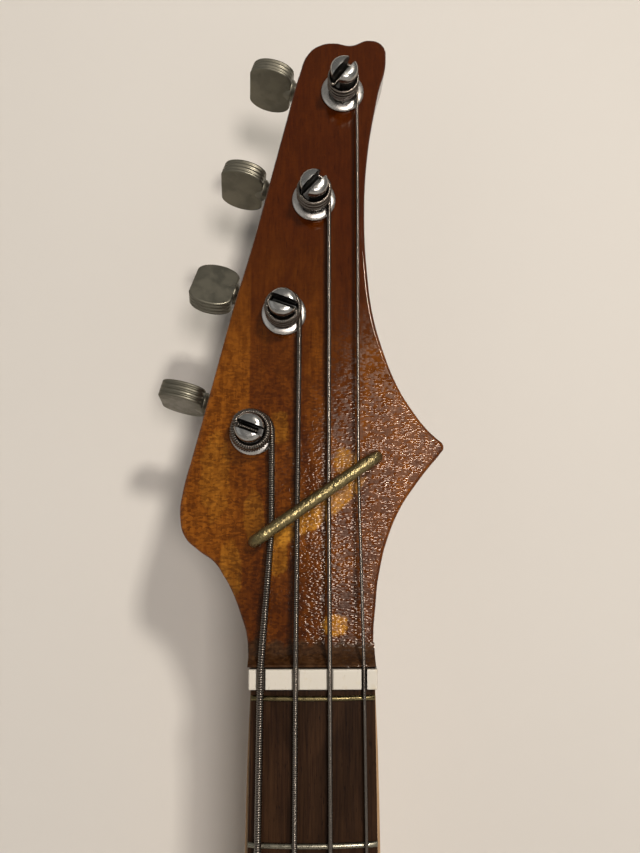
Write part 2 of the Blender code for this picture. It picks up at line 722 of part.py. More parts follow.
def wheel_ring(height):
    """One section of the worm wheel: a gap faces the worm at the wheel's middle height."""
    pitch = 2 * math.pi / WHEEL_TEETH
    lean = WORM_LEAD / (2 * math.pi * WORM_PITCH_RADIUS)
    twist = (height + WHEEL_DEPTH) * lean / WHEEL_PITCH_RADIUS
    outer = WHEEL_PITCH_RADIUS + TOOTH_ADDENDUM
    inner = WORM_OFFSET - WORM_PITCH_RADIUS - TOOTH_ADDENDUM - GAP
    ring = []
    for tooth in range(WHEEL_TEETH):
        middle = -math.pi / 2 + (tooth + 0.5) * pitch + twist
        for share, radius in (
            (-TOOTH_ROOT_SHARE, inner), (-TOOTH_TIP_SHARE, outer),
            (TOOTH_TIP_SHARE, outer), (TOOTH_ROOT_SHARE, inner),
        ):
            angle = middle + share * pitch / 2
            ring.append((radius * math.cos(angle), radius * math.sin(angle), height))
    return ring


def make_post(slot_angle):
    """A slotted string post with its worm wheel, in its tuner's own frame."""
    base = GAP + BUSHING_FLANGE + GAP
    neck = POST_HEIGHT - POST_HEAD_LENGTH
    edge = 0.6 * MM
    end = -HOUSING_BACK + HOUSING_WALL / 3
    profile = [
        (0, end), (POST_JOURNAL_RADIUS, end), (POST_JOURNAL_RADIUS, -HOUSING_FLOOR + GAP),
        (POST_SHAFT_RADIUS, -HOUSING_FLOOR + GAP), (POST_SHAFT_RADIUS, base),
        (POST_COLLAR_RADIUS, base), (POST_WAIST_RADIUS, base + edge),
        (POST_WAIST_RADIUS, neck - edge),
        (POST_HEAD_RADIUS, neck), (POST_HEAD_RADIUS, POST_HEIGHT - edge),
        (POST_HEAD_RADIUS - edge, POST_HEIGHT), (0, POST_HEIGHT),
    ]
    half = WHEEL_WIDTH / 2
    wheel = loft([wheel_ring(-WHEEL_DEPTH + height) for height in (-half, half)])
    reach = POST_HEAD_RADIUS + OVERSHOOT
    slot = box((-reach, -SLOT_WIDTH / 2, SLOT_FLOOR), (reach, SLOT_WIDTH / 2, POST_HEIGHT + OVERSHOOT))
    return cut(join(turned(profile), wheel), placed(slot, Matrix.Rotation(slot_angle, 4, "Z")))


def make_housing():
    """A cast housing, open towards the wood, round the worm and the wheel."""
    reach = WORM_OFFSET + WORM_PITCH_RADIUS + TOOTH_ADDENDUM + GAP
    near = WHEEL_PITCH_RADIUS + TOOTH_ADDENDUM + GAP
    half = HOUSING_HALF_LENGTH
    inside = half - HOUSING_WALL
    front = -HEAD_THICKNESS - GAP
    shell = box((-half, -reach - HOUSING_WALL, -HOUSING_BACK), (half, near + HOUSING_WALL, front),
                HOUSING_CORNER)
    back = bmesh.new()
    back.from_mesh(shell)
    rim = [e for e in back.edges if all(v.co.z < -HOUSING_BACK + WELD for v in e.verts)]
    bmesh.ops.bevel(back, geom=rim, offset=1.2 * MM, segments=1, affect="EDGES")
    boss = rod(HOUSING_BOSS_RADIUS, half - HOUSING_WALL / 2, HOUSING_BOSS_END, 10)
    boss = placed(boss, facing((0, -WORM_OFFSET, -WHEEL_DEPTH), (1, 0, 0)))
    lug_y = near + HOUSING_WALL + LUG_RADIUS / 2
    lug = placed(rod(LUG_RADIUS, front - LUG_THICKNESS, front, 10), Matrix.Translation((0, lug_y, 0)))
    cavity = box((-inside, -reach, -HOUSING_FLOOR), (inside, near, front + OVERSHOOT), HOUSING_CORNER / 2, 1)
    journal = rod(POST_JOURNAL_RADIUS + RUNNING_GAP, -HOUSING_BACK + HOUSING_WALL / 3 - GAP,
                  -HOUSING_FLOOR + OVERSHOOT, 10)
    shaft_bore = rod(SHAFT_RADIUS + GAP, 0, HOUSING_BOSS_END + OVERSHOOT, 10)
    tip_bore = rod(SHAFT_TIP_RADIUS + RUNNING_GAP, -half + 0.8 * MM, 0, 8)
    axis = facing((0, -WORM_OFFSET, -WHEEL_DEPTH), (1, 0, 0))
    lug_hole = rod(LUG_HOLE_RADIUS, front - LUG_THICKNESS - OVERSHOOT, front + OVERSHOOT, 8)
    lug_hole = placed(lug_hole, Matrix.Translation((0, lug_y + LUG_RADIUS / 4, 0)))
    return cut(
        join(mesh_of(back), boss, lug),
        cavity, journal, placed(shaft_bore, axis), placed(tip_bore, axis), lug_hole,
    )


def worm_thread():
    """The worm's thread round X: a tooth profile swept along a right-handed helix."""
    outer = WORM_PITCH_RADIUS + TOOTH_ADDENDUM
    inner = worm_root() - SINK
    rings = []
    count = round(WORM_TURNS * WORM_STEPS)
    for step in range(count + 1):
        angle = 2 * math.pi * (step / WORM_STEPS - WORM_TURNS / 2)
        rings.append(
            [
                (
                    WORM_LEAD * (angle / (2 * math.pi) + share / 2),
                    radius * math.cos(angle),
                    radius * math.sin(angle),
                )
                for share, radius in (
                    (-TOOTH_ROOT_SHARE, inner), (-TOOTH_TIP_SHARE, outer),
                    (TOOTH_TIP_SHARE, outer), (TOOTH_ROOT_SHARE, inner),
                )
            ]
        )
    return loft(rings)


def worm_root():
    return WORM_OFFSET - WHEEL_PITCH_RADIUS - TOOTH_ADDENDUM - GAP


def key_pad():
    """The flat-faced finger pad, with arched rims that carry fine grooves."""
    bow = (KEY_WIDTH - KEY_END_WIDTH) / 2
    outline = []
    for side in (1, -1):
        for step in range(KEY_ARC_STEPS + 1):
            angle = math.pi * (step / KEY_ARC_STEPS - 0.5)
            outline.append((side * math.sin(angle), math.cos(angle), side))
    land = (KEY_THICKNESS - 2 * KEY_EDGE) / (2 * KEY_GROOVES + 1)
    stations = [(-KEY_THICKNESS / 2, KEY_EDGE), (-KEY_THICKNESS / 2 + KEY_EDGE, 0.0)]
    for groove in range(KEY_GROOVES):
        start = -KEY_THICKNESS / 2 + KEY_EDGE + (2 * groove + 1) * land
        stations += [(start, 0.0), (start + land / 2, -KEY_GROOVE_DEPTH), (start + land, 0.0)]
    stations += [(KEY_THICKNESS / 2 - KEY_EDGE, 0.0), (KEY_THICKNESS / 2, KEY_EDGE)]
    rings = []
    for height, inset in stations:
        ring = []
        for end, arch, side in outline:
            length = KEY_LENGTH / 2 - max(inset, 0.0)
            width = KEY_END_WIDTH / 2 + arch * bow - abs(inset)
            ring.append((KEY_START + KEY_LENGTH / 2 + end * length, -side * width, height))
        rings.append(ring)
    return loft(rings)


def make_key(roll):
    """A key with its shaft and worm along X from the worm's middle, its pad rolled about the shaft."""
    thread_end = WORM_LEAD * (WORM_TURNS + 1) / 2
    tip = -HOUSING_HALF_LENGTH + HOUSING_WALL / 2
    inside = HOUSING_HALF_LENGTH - HOUSING_WALL
    root = worm_root()
    profile = [
        (0, tip), (SHAFT_TIP_RADIUS, tip), (SHAFT_TIP_RADIUS, -inside + GAP), (root, -inside + GAP),
        (root, thread_end), (SHAFT_RADIUS, thread_end + GAP), (SHAFT_RADIUS, HOUSING_BOSS_END + GAP),
        (KEY_NECK_RADIUS, HOUSING_BOSS_END + GAP), (KEY_NECK_RADIUS + 0.8 * MM, KEY_START),
        (KEY_NECK_RADIUS, KEY_START + 3 * MM), (0, KEY_START + 3 * MM),
    ]
    shaft = placed(turned(profile, WORM_STEPS), Matrix.Rotation(math.pi / 2, 4, "Y"))
    return join(shaft, worm_thread(), placed(key_pad(), Matrix.Rotation(roll, 4, "X")))


def string_route(index):
    """One string's centre line, its loops round the post included, in the neck's frame."""
    name, gauge, _, under_bar, slot_degrees, turns, slack = STRINGS[index]
    radius = gauge * MM / 2
    anchor = BRIDGE_Z - BRIDGE_BACK - GAP
    rest = [
        Vector((string_x(index, BRIDGE_Z), lip_string_y(), height))
        for height in (anchor - BALL_LENGTH, anchor - BALL_LENGTH / 4, anchor, anchor + BRIDGE_LIP + 2 * GAP)
    ]
    rest.append(Vector((string_x(index, BRIDGE_Z), string_y(index, BRIDGE_Z), saddle_z(index) - SADDLE_RIDGE)))
    for z in (fret_z(12), 0.0, BOARD_LEAD + GAP + NUT_LENGTH):
        rest.append(Vector((string_x(index, z), string_y(index, min(z, 0.0)), z)))
    run = RETAINER_HIGH - RETAINER_LOW
    bar_u = RETAINER_LOW.y + (under_bar * MM - RETAINER_LOW.x) * run.y / run.x
    height = RETAINER_HEIGHT - RETAINER_RADIUS - GAP - radius
    rest.append(HEAD_FRAME @ Vector((under_bar * MM, bar_u, height)))

    place = POST_FIRST + POST_STEP * index
    wrap = POST_WAIST_RADIUS + GAP + radius
    corner = radius + GAP
    slot = math.radians(slot_degrees)
    offset = max(0.0, SLOT_WIDTH / 2 - corner)
    lip_turn = math.asin(min(1.0, (offset + corner) / POST_WAIST_RADIUS))
    last = turns * 2 * math.pi + slot - lip_turn
    top = SLOT_FLOOR + GAP + radius
    pitch = 2 * radius + TURN_GAP
    winding = []
    steps = math.ceil(last / (2 * math.pi) * LOOP_POINTS)
    for step in range(steps + 1):
        angle = last * step / steps
        loose = slack * MM * max(0.0, 1 - angle / (2 * math.pi))
        reach = wrap + loose
        rise = top - pitch * (last - angle) / (2 * math.pi)
        winding.append(Vector((reach * math.cos(angle), reach * math.sin(angle), rise)))
    pivot = Vector((math.cos(slot - lip_turn), math.sin(slot - lip_turn))) * (wrap - corner)
    for step in range(1, 4):
        angle = slot - lip_turn + (math.pi / 2 + lip_turn) * step / 3
        winding.append(
            Vector((pivot.x + corner * math.cos(angle), pivot.y + corner * math.sin(angle), top))
        )
    inward = Vector((-math.cos(slot), -math.sin(slot), 0))
    winding.append(winding[-1] + inward * (wrap + POST_WAIST_RADIUS / 4))
    centre = Vector((place.x, place.y, 0))
    return rest, [HEAD_FRAME @ (centre + point) for point in winding]


def least_self_gap(points, diameter, apart):
    """The smallest distance between points that lie further along the tube than apart, less its diameter."""
    line = np.array([list(point) for point in points])
    travel = np.concatenate([[0.0], np.cumsum(np.linalg.norm(np.diff(line, axis=0), axis=1))])
    distance = np.linalg.norm(line[:, None] - line[None], axis=2)
    far = np.abs(travel[:, None] - travel[None]) > apart
    return distance[far].min() - diameter


def saddle_z(index):
    """Thicker strings are stopped a little further back, so that they play in tune."""
    return BRIDGE_Z - SADDLE_SETBACK - SADDLE_STEP * (len(STRINGS) - 1 - index)


def plate_top():
    return BODY_TOP - GAP - BRIDGE_PLATE


def lip_string_y():
    return plate_top() - STRING_EXIT_RISE


def saddle_screw_y():
    return plate_top() - BRIDGE_LIP_HEIGHT + SADDLE_SCREW_HEAD_RADIUS + 0.9 * MM


def make_body():
    wood = slab(BODY_OUTLINE, BODY_THICKNESS, BODY_EDGE, resolution=3, segments=2)
    upright = Matrix.Translation((0, BODY_TOP + BODY_THICKNESS / 2, BRIDGE_Z)) @ Matrix.Rotation(
        math.pi / 2, 4, "X"
    )
    (low_half, low), (high_half, high) = heel_outline(GAP)
    floor = BOARD_THICKNESS + HEEL_DEPTH + GAP
    pocket = loft(
        [
            [(-half, BODY_TOP - OVERSHOOT, z), (half, BODY_TOP - OVERSHOOT, z), (half, floor, z), (-half, floor, z)]
            for half, z in ((low_half, low), (high_half, high))
        ]
    )
    tools = [pocket]
    for _, above in PICKUP_PLACES:
        tools.append(pickup_block(above, PICKUP_GAP, BODY_TOP - OVERSHOOT, pickup_floor() + GAP))
    cavity_depth = BODY_THICKNESS - SKIN
    for outline_grow, low_y, deep in (
        (0.0, BODY_TOP + SKIN, cavity_depth + OVERSHOOT),
        (COVER_LEDGE + GAP, BODY_BACK - COVER_THICKNESS - 2 * GAP, COVER_THICKNESS + 2 * GAP + OVERSHOOT),
    ):
        hollow = slab(CAVITY_OUTLINE, deep, grow=outline_grow)
        back = Matrix.Translation((0, low_y + deep / 2, BRIDGE_Z)) @ Matrix.Rotation(math.pi / 2, 4, "X")
        tools.append(placed(hollow, back))
    for _, (x, above) in KNOB_PLACES:
        hole = rod(POT_BUSHING_RADIUS + GAP, -OVERSHOOT, SKIN + OVERSHOOT, 10)
        tools.append(placed(hole, facing((x, BODY_TOP, BRIDGE_Z + above), (0, 1, 0))))
    hole = rod(JACK_BARREL_RADIUS + GAP, -OVERSHOOT, SKIN + OVERSHOOT)
    tools.append(placed(hole, facing((JACK_PLACE[0], BODY_TOP, BRIDGE_Z + JACK_PLACE[1]), (0, 1, 0))))
    for x, z in neck_screw_places():
        hole = rod(NECK_SCREW_RADIUS + GAP, floor - OVERSHOOT, BODY_BACK + OVERSHOOT, 10)
        tools.append(placed(hole, facing((x, 0, z), (0, 1, 0))))
    for (x, above), way in ((STRAP_HORN, 1), (STRAP_TAIL, -1)):
        hole = rod(STRAP_SCREW_RADIUS + GAP, -STRAP_SCREW_LENGTH - GAP, OVERSHOOT, 10)
        place = (x, BODY_TOP + BODY_THICKNESS / 2, BRIDGE_Z + above)
        tools.append(placed(hole, facing(place, (0, 0, way))))
    return cut(placed(wood, upright), *tools)


def pickup_floor():
    return BODY_TOP - PICKUP_PROUD + PICKUP_HEIGHT


def pickup_block(above, grow, low_y, high_y):
    half = PICKUP_WIDTH / 2 + grow
    length = PICKUP_LENGTH / 2 + grow
    flat = box((-half, -length, low_y), (half, length, high_y), PICKUP_CORNER + grow)
    return placed(flat, Matrix.Translation((0, 0, BRIDGE_Z + above)) @ Matrix.Rotation(-math.pi / 2, 4, "X"))


def make_pickup(above):
    """A moulded cover with a pair of round poles under each string."""
    front = BODY_TOP - PICKUP_PROUD
    poles = []
    for index in range(len(STRINGS)):
        for side in (-1, 1):
            x = string_x(index, BRIDGE_Z + above) + side * POLE_PAIR / 2
            pole = rod(POLE_RADIUS, -POLE_PROUD, POLE_PROUD, 8)
            poles.append(placed(pole, facing((x, front, BRIDGE_Z + above), (0, 1, 0))))
    block = placed(
        pickup_block(above, 0.0, front, pickup_floor()), Matrix.Identity(4)
    )
    return join(block, *poles)


def make_bridge_plate():
    """The folded plate: strings anchor in its lip, and the saddles' screws bear on it."""
    top = plate_top()
    half = BRIDGE_WIDTH / 2
    low = BRIDGE_Z - BRIDGE_BACK
    base = box((-half, top, low), (half, top + BRIDGE_PLATE, BRIDGE_Z + BRIDGE_FRONT))
    lip = box((-half, top - BRIDGE_LIP_HEIGHT, low), (half, top + SINK, low + BRIDGE_LIP))
    tools = []
    for index, (_, gauge, *_) in enumerate(STRINGS):
        x = string_x(index, BRIDGE_Z)
        hole = rod(gauge * MM / 2 + GAP, low - OVERSHOOT, low + BRIDGE_LIP + OVERSHOOT, 8)
        tools.append(placed(hole, Matrix.Translation((x, lip_string_y(), 0))))
        hole = rod(SADDLE_SCREW_RADIUS + GAP, low - OVERSHOOT, low + BRIDGE_LIP + OVERSHOOT, 8)
        tools.append(placed(hole, Matrix.Translation((x + SADDLE_SCREW_SIDE, saddle_screw_y(), 0))))
    return cut(join(base, lip), *tools)


def make_saddle(index):
    """A saddle block on two grub screws, with a notched crest that stops its string."""
    x = string_x(index, BRIDGE_Z)
    z = saddle_z(index)
    radius = STRINGS[index][1] * MM / 2
    crest = string_y(index, BRIDGE_Z) + radius + GAP
    half = SADDLE_WIDTH / 2
    length = SADDLE_LENGTH / 2
    section = [
        (-length, crest + SADDLE_BLOCK), (-length, crest + SADDLE_CREST),
        (-SADDLE_RIDGE, crest - SADDLE_GROOVE), (SADDLE_RIDGE, crest - SADDLE_GROOVE),
        (length, crest + SADDLE_CREST / 2), (length, crest + SADDLE_BLOCK),
    ]
    block = loft([[(x + side, y, z + along) for along, y in section] for side in (-half, half)])
    grubs = []
    for side in (-1, 1):
        grub = rod(GRUB_RADIUS, crest + SADDLE_BLOCK - SINK, plate_top() - GAP, 8)
        grubs.append(placed(grub, facing((x + side * GRUB_SPREAD / 2, 0, z), (0, 1, 0))))
    bore = rod(SADDLE_SCREW_RADIUS + GAP, z - length - OVERSHOOT, z + length + OVERSHOOT, 8)
    bore = placed(bore, Matrix.Translation((x + SADDLE_SCREW_SIDE, saddle_screw_y(), 0)))
    notch = rod(radius + GAP, z - length - OVERSHOOT, z + length + OVERSHOOT, 8)
    notch = placed(notch, Matrix.Translation((x, crest - radius - GAP + SADDLE_GROOVE / 4, 0)))
    return cut(join(block, *grubs), bore, notch)


def make_saddle_screw(index):
    """The long screw from the lip through a saddle that sets its place."""
    low = BRIDGE_Z - BRIDGE_BACK - GAP
    high = saddle_z(index) + SADDLE_LENGTH / 2 + SADDLE_SCREW_REACH
    profile = [
        (0, low - SADDLE_SCREW_HEAD), (SADDLE_SCREW_HEAD_RADIUS - 0.6 * MM, low - SADDLE_SCREW_HEAD),
        (SADDLE_SCREW_HEAD_RADIUS, low - SADDLE_SCREW_HEAD / 2), (SADDLE_SCREW_HEAD_RADIUS, low),
        (SADDLE_SCREW_RADIUS, low), (SADDLE_SCREW_RADIUS, high), (0, high),
    ]
    return turned(profile, 10)


def make_pot():
    """A control's metal can, its bushing through the body's skin and the nut that holds it."""
    bore = POT_SHAFT_RADIUS + RUNNING_GAP
    under = SKIN + GAP
    profile = [
        (bore, -GAP - POT_NUT_HEIGHT), (POT_NUT_RADIUS, -GAP - POT_NUT_HEIGHT), (POT_NUT_RADIUS, -GAP),
        (POT_BUSHING_RADIUS, -GAP), (POT_BUSHING_RADIUS, under), (POT_RADIUS, under),
        (POT_RADIUS, under + POT_HEIGHT), (bore, under + POT_HEIGHT),
    ]
    return turned(profile, 10, hollow=True)


def make_knob():
    """A fluted knob with the shaft that it turns, along Z from the body's top inwards."""
    foot = -2 * GAP - POT_NUT_HEIGHT
    head = foot - KNOB_HEIGHT
    edge = 1.2 * MM
    count = 2 * KNOB_FLUTES
    rings = []
    for height, trim in ((head, edge), (head + edge, 0.0), (foot, 0.0)):
        ring = []
        for step in range(count):
            radius = KNOB_RADIUS - trim - (KNOB_FLUTE_DEPTH if step % 2 else 0.0)
            angle = 2 * math.pi * step / count
            ring.append((radius * math.cos(angle), radius * math.sin(angle), height))
        rings.append(ring)
    return join(loft(rings), rod(POT_SHAFT_RADIUS, foot - edge, SKIN + POT_HEIGHT, 10))


def make_jack():
    """A barrel socket with a round flange on the body's front."""
    front = -GAP - JACK_FLANGE
    edge = 0.5 * MM
    profile = [
        (JACK_BORE_RADIUS, front), (JACK_FLANGE_RADIUS - edge, front), (JACK_FLANGE_RADIUS, front + edge),
        (JACK_FLANGE_RADIUS, -GAP), (JACK_BARREL_RADIUS, -GAP), (JACK_BARREL_RADIUS, JACK_BARREL_LENGTH),
        (JACK_BORE_RADIUS, JACK_BARREL_LENGTH),
    ]
    return turned(profile, hollow=True)


def make_cover():
    plate = slab(CAVITY_OUTLINE, COVER_THICKNESS, grow=COVER_LEDGE)
    middle = BODY_BACK - GAP - COVER_THICKNESS / 2
    return placed(plate, Matrix.Translation((0, middle, BRIDGE_Z)) @ Matrix.Rotation(math.pi / 2, 4, "X"))


def make_neck_plate():
    half = NECK_SCREW_SPREAD / 2 + NECK_PLATE_MARGIN
    low = BOARD_END + NECK_SCREW_INSET - NECK_PLATE_MARGIN
    high = BOARD_END + NECK_SCREW_INSET + NECK_SCREW_PITCH + NECK_PLATE_MARGIN
    flat = box((-half, low, 0), (half, high, NECK_PLATE_THICKNESS), 4 * MM, 1)
    turn = Matrix((
        (1, 0, 0, 0),
        (0, 0, 1, BODY_BACK + GAP),
        (0, 1, 0, 0),
        (0, 0, 0, 1),
    ))
    plate = placed(flat, turn)
    plate.flip_normals()
    tools = []
    for x, z in neck_screw_places():
        hole = rod(NECK_SCREW_RADIUS + GAP, BODY_BACK - OVERSHOOT, BODY_BACK + OVERSHOOT + NECK_PLATE_THICKNESS, 10)
        tools.append(placed(hole, facing((x, 0, z), (0, 1, 0))))
    return cut(plate, *tools)


def make_neck_screw():
    """A wood screw along Z, with its head's underside at zero."""
    length = GAP + NECK_PLATE_THICKNESS + GAP + BODY_BACK - BOARD_THICKNESS - HEEL_DEPTH + NECK_SCREW_BITE
    point = 3 * MM
    profile = [
        (0, -length), (NECK_SCREW_RADIUS, -length + point), (NECK_SCREW_RADIUS, 0),
        (NECK_SCREW_HEAD_RADIUS, 0), (NECK_SCREW_HEAD_RADIUS, 1.0 * MM),
        (NECK_SCREW_HEAD_RADIUS * 0.6, 2.6 * MM), (0, 2.6 * MM),
    ]
    return turned(profile, 10)


def make_strap_button():
    """A waisted button with its screw, standing along Z on the body's edge."""
    profile = [
        (0, -STRAP_SCREW_LENGTH), (STRAP_SCREW_RADIUS, -STRAP_SCREW_LENGTH + 3 * MM),
        (STRAP_SCREW_RADIUS, GAP), (STRAP_HEAD_RADIUS * 0.85, GAP),
        (STRAP_HEAD_RADIUS * 0.85, 2 * MM), (STRAP_NECK_RADIUS, 4 * MM),
        (STRAP_NECK_RADIUS, STRAP_HEIGHT - 4 * MM), (STRAP_HEAD_RADIUS, STRAP_HEIGHT - 2 * MM),
        (STRAP_HEAD_RADIUS, STRAP_HEIGHT - 0.8 * MM), (STRAP_HEAD_RADIUS * 0.7, STRAP_HEIGHT),
        (0, STRAP_HEIGHT),
    ]
    return turned(profile, 10)


def build_tuners(metal, nickel):
    bushing = make_bushing()
    housing = make_housing()
    for index, (name, *_, slot_degrees, _, _) in enumerate(STRINGS):
        frame = tuner_frame(index)
        add("tuner_bushing_" + name, bushing.copy(), metal, frame)
        add("tuner_housing_" + name, housing.copy(), metal, frame)
        add("tuner_post_" + name, make_post(math.radians(slot_degrees) - KEY_ANGLE), metal, frame)
        axis = Matrix.Translation((0, -WORM_OFFSET, -WHEEL_DEPTH))
        add("tuner_key_" + name, make_key(math.radians(KEY_ROLLS[index])), nickel, frame @ axis)


def build_strings(steel):
    for index, (name, gauge, *_) in enumerate(STRINGS):
        rest, winding = string_route(index)
        scales = [BALL_SCALE, BALL_SCALE] + [1.0] * (len(rest) - 2 + len(winding))
        add("string_" + name, tube(rest + winding, gauge * MM / 2, 1, scales), steel)
        gap = least_self_gap(winding, gauge * MM, 3 * gauge * MM)
        print(f"string_{name}: least gap of the winding to itself {gap / MM:.2f} mm")


def build_bridge(metal, steel):
    add("bridge_plate", make_bridge_plate(), metal)
    for index, (name, *_) in enumerate(STRINGS):
        add("saddle_" + name, make_saddle(index), metal)
        place = (string_x(index, BRIDGE_Z) + SADDLE_SCREW_SIDE, saddle_screw_y(), 0)
        add("saddle_screw_" + name, make_saddle_screw(index), steel, Matrix.Translation(place))


def build_controls(metal, dark):
    pot = make_pot()
    knob = make_knob()
    for name, (x, above) in KNOB_PLACES:
        stand = facing((x, BODY_TOP, BRIDGE_Z + above), (0, 1, 0))
        add("pot_" + name, pot.copy(), metal, stand)
        add("knob_" + name, knob.copy(), dark, stand)
    stand = facing((JACK_PLACE[0], BODY_TOP, BRIDGE_Z + JACK_PLACE[1]), (0, 1, 0))
    add("output_jack", make_jack(), metal, stand)
    add("control_cover", make_cover(), dark)


def build_fasteners(metal):
    add("neck_plate", make_neck_plate(), metal)
    screw = make_neck_screw()
    for number, (x, z) in enumerate(neck_screw_places(), 1):
        head = BODY_BACK + GAP + NECK_PLATE_THICKNESS + GAP
        add(f"neck_screw_{number}", screw.copy(), metal, facing((x, head, z), (0, 1, 0)))
    button = make_strap_button()
    for name, (x, above), way in (("horn", STRAP_HORN, 1), ("tail", STRAP_TAIL, -1)):
        place = (x, BODY_TOP + BODY_THICKNESS / 2, BRIDGE_Z + above)
        add("strap_button_" + name, button.copy(), metal, facing(place, (0, 0, way)))


def build():
    lacquered = material("amber_lacquered_wood", (0.34, 0.11, 0.025), 0.28)
    rosewood = material("dark_rosewood", (0.06, 0.028, 0.018), 0.5)
    bone = material("bone", (0.78, 0.74, 0.64), 0.45)
    brass = material("aged_brass", (0.45, 0.31, 0.12), 0.4, 1.0)
    satin = material("satin_nickel", (0.32, 0.31, 0.28), 0.38, 1.0)
    chrome = material("worn_chrome", (0.55, 0.55, 0.53), 0.22, 1.0)
    steel = material("string_steel", (0.36, 0.33, 0.29), 0.38, 1.0)
    black = material("black_plastic", (0.02, 0.02, 0.02), 0.4)
    add("body", make_body(), lacquered)
    add("neck", make_neck(), lacquered)
    add("fingerboard", make_fingerboard(), rosewood)
    add("zero_fret", make_zero_fret(), brass)
    add("nut", make_nut(), bone)
    add("truss_rod", make_truss_rod(), steel)
    add("string_retainer", tube(retainer_route(), RETAINER_RADIUS, RETAINER_SIDES_RESOLUTION), brass)
    build_tuners(chrome, satin)
    build_strings(steel)
    build_bridge(chrome, steel)
    for name, above in PICKUP_PLACES:
        add(name, make_pickup(above), black)
    build_controls(chrome, black)
    build_fasteners(chrome)


for old in list(bpy.data.objects):
    bpy.data.objects.remove(old)
neck_frame = bpy.data.objects.new("neck_frame", None)
bpy.context.scene.collection.objects.link(neck_frame)
neck_frame.location = -(HEAD_FRAME @ Vector((0, HANG_HEIGHT, -HEAD_THICKNESS / 2)))
build()
bpy.context.view_layer.update()
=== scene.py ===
"""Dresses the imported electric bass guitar: its fine shapes, its finishes, the light and the camera.

Pieces are modelled in millimetres, in one of three frames: the neck's, whose origin is the middle of
the zero fret with Y to the back and Z to the tip, the headstock face's, with X across, Y towards the
tip and Z out of the face, and each tuner's, with Z along its post and X along its key.
"""

import json
import math

import bmesh
import bpy
import numpy as np
from mathutils import Matrix, Vector


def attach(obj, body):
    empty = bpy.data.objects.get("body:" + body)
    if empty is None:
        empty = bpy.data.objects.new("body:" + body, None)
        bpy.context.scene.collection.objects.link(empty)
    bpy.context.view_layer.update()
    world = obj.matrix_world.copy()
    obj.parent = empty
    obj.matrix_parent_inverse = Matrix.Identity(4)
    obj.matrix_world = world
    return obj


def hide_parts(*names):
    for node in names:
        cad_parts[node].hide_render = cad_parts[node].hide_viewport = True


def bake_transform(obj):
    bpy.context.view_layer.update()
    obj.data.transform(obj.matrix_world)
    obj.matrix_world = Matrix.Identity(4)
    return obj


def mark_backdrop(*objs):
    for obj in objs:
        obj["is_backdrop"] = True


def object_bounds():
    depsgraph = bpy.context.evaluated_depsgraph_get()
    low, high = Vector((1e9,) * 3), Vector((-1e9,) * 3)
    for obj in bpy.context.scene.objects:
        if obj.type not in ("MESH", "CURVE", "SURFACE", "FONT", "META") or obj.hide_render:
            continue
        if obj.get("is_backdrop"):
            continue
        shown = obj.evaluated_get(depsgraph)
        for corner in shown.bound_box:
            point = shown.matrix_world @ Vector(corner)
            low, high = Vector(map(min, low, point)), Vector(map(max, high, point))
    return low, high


bl_info = {
    "name": "Electric bass guitar",
    "version": (1, 0, 0),
    "blender": (4, 5, 0),
    "location": "View3D > Sidebar > Bass",
    "description": "Builds the visible pieces of a four-string electric bass round its packed frame",
    "category": "Object",
}

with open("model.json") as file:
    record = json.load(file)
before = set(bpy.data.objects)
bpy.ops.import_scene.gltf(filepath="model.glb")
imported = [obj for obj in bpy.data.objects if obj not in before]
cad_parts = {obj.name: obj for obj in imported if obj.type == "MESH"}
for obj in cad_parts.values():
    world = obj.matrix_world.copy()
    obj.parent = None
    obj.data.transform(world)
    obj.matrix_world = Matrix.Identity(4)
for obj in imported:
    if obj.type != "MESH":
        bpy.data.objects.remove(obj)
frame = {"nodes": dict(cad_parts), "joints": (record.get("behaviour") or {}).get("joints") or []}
cad_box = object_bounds()
joints = {joint["name"]: joint for joint in frame["joints"]}

MM = 0.001
IN_MM = Matrix.Scale(MM, 4)
STRING_NAMES = ("e", "a", "d", "g")
ROOT = "instrument"

# The frames
HEAD_TILT = math.radians(5.86)
HEAD_DROP = 5.13
HEAD_RISE = 8.0
NECK = Matrix.Translation((0.0, -0.01714, -0.05401)) @ IN_MM
HEAD = Matrix.Translation((0.0, HEAD_DROP, HEAD_RISE)) @ Matrix.Rotation(math.pi / 2 - HEAD_TILT, 4, "X")
FACE = NECK @ HEAD
WORLD = Matrix.Identity(4)

# Sizes shared with the solids, in millimetres
SCALE_LENGTH = 863.6
FRET_COUNT = 20
BOARD_RADIUS = 210.0
BOARD_THICKNESS = 5.5
BOARD_LEAD = 3.0
NUT_END_WIDTH = 42.0
BOARD_OVERHANG = 11.0
NECK_PROUD = 0.5
NECK_DEPTH_NUT = 15.5
HEEL_DEPTH = 20.0
HEEL_LENGTH = 96.0
NECK_SCREW_BORE = 2.6
STRING_SPACING = 19.0
NUT_LENGTH = 6.8
NUT_RISE = 1.9
GAP = 0.3
HEAD_THICKNESS = 14.5
POST_FIRST = Vector((-21.9, 82.1))
POST_STEP = Vector((10.98, 44.26))
POST_HEIGHT = 16.2
POST_WAIST = 4.5
SLOT_WIDTH = 3.1
SLOT_FLOOR = 9.0
POST_FOOT = 14.0
BUSHING_FLANGE = 1.3
HOUSING_WALL = 2.5
# The worm beside the post: the distance of their axes, its radius, and the free room round it
WORM_OFFSET = 8.9
WORM_RADIUS = 3.2
WORM_ROOM = 0.8
FRET_HEIGHT = 1.1
BODY_TOP = 10.0
BODY_THICKNESS = 42.0
BRIDGE_Z = -SCALE_LENGTH
BRIDGE_BACK = 48.0
BRIDGE_PLATE = 2.0
BRIDGE_LIP = 2.4
BRIDGE_LIP_HEIGHT = 12.0
PLATE_TOP = BODY_TOP - GAP - BRIDGE_PLATE
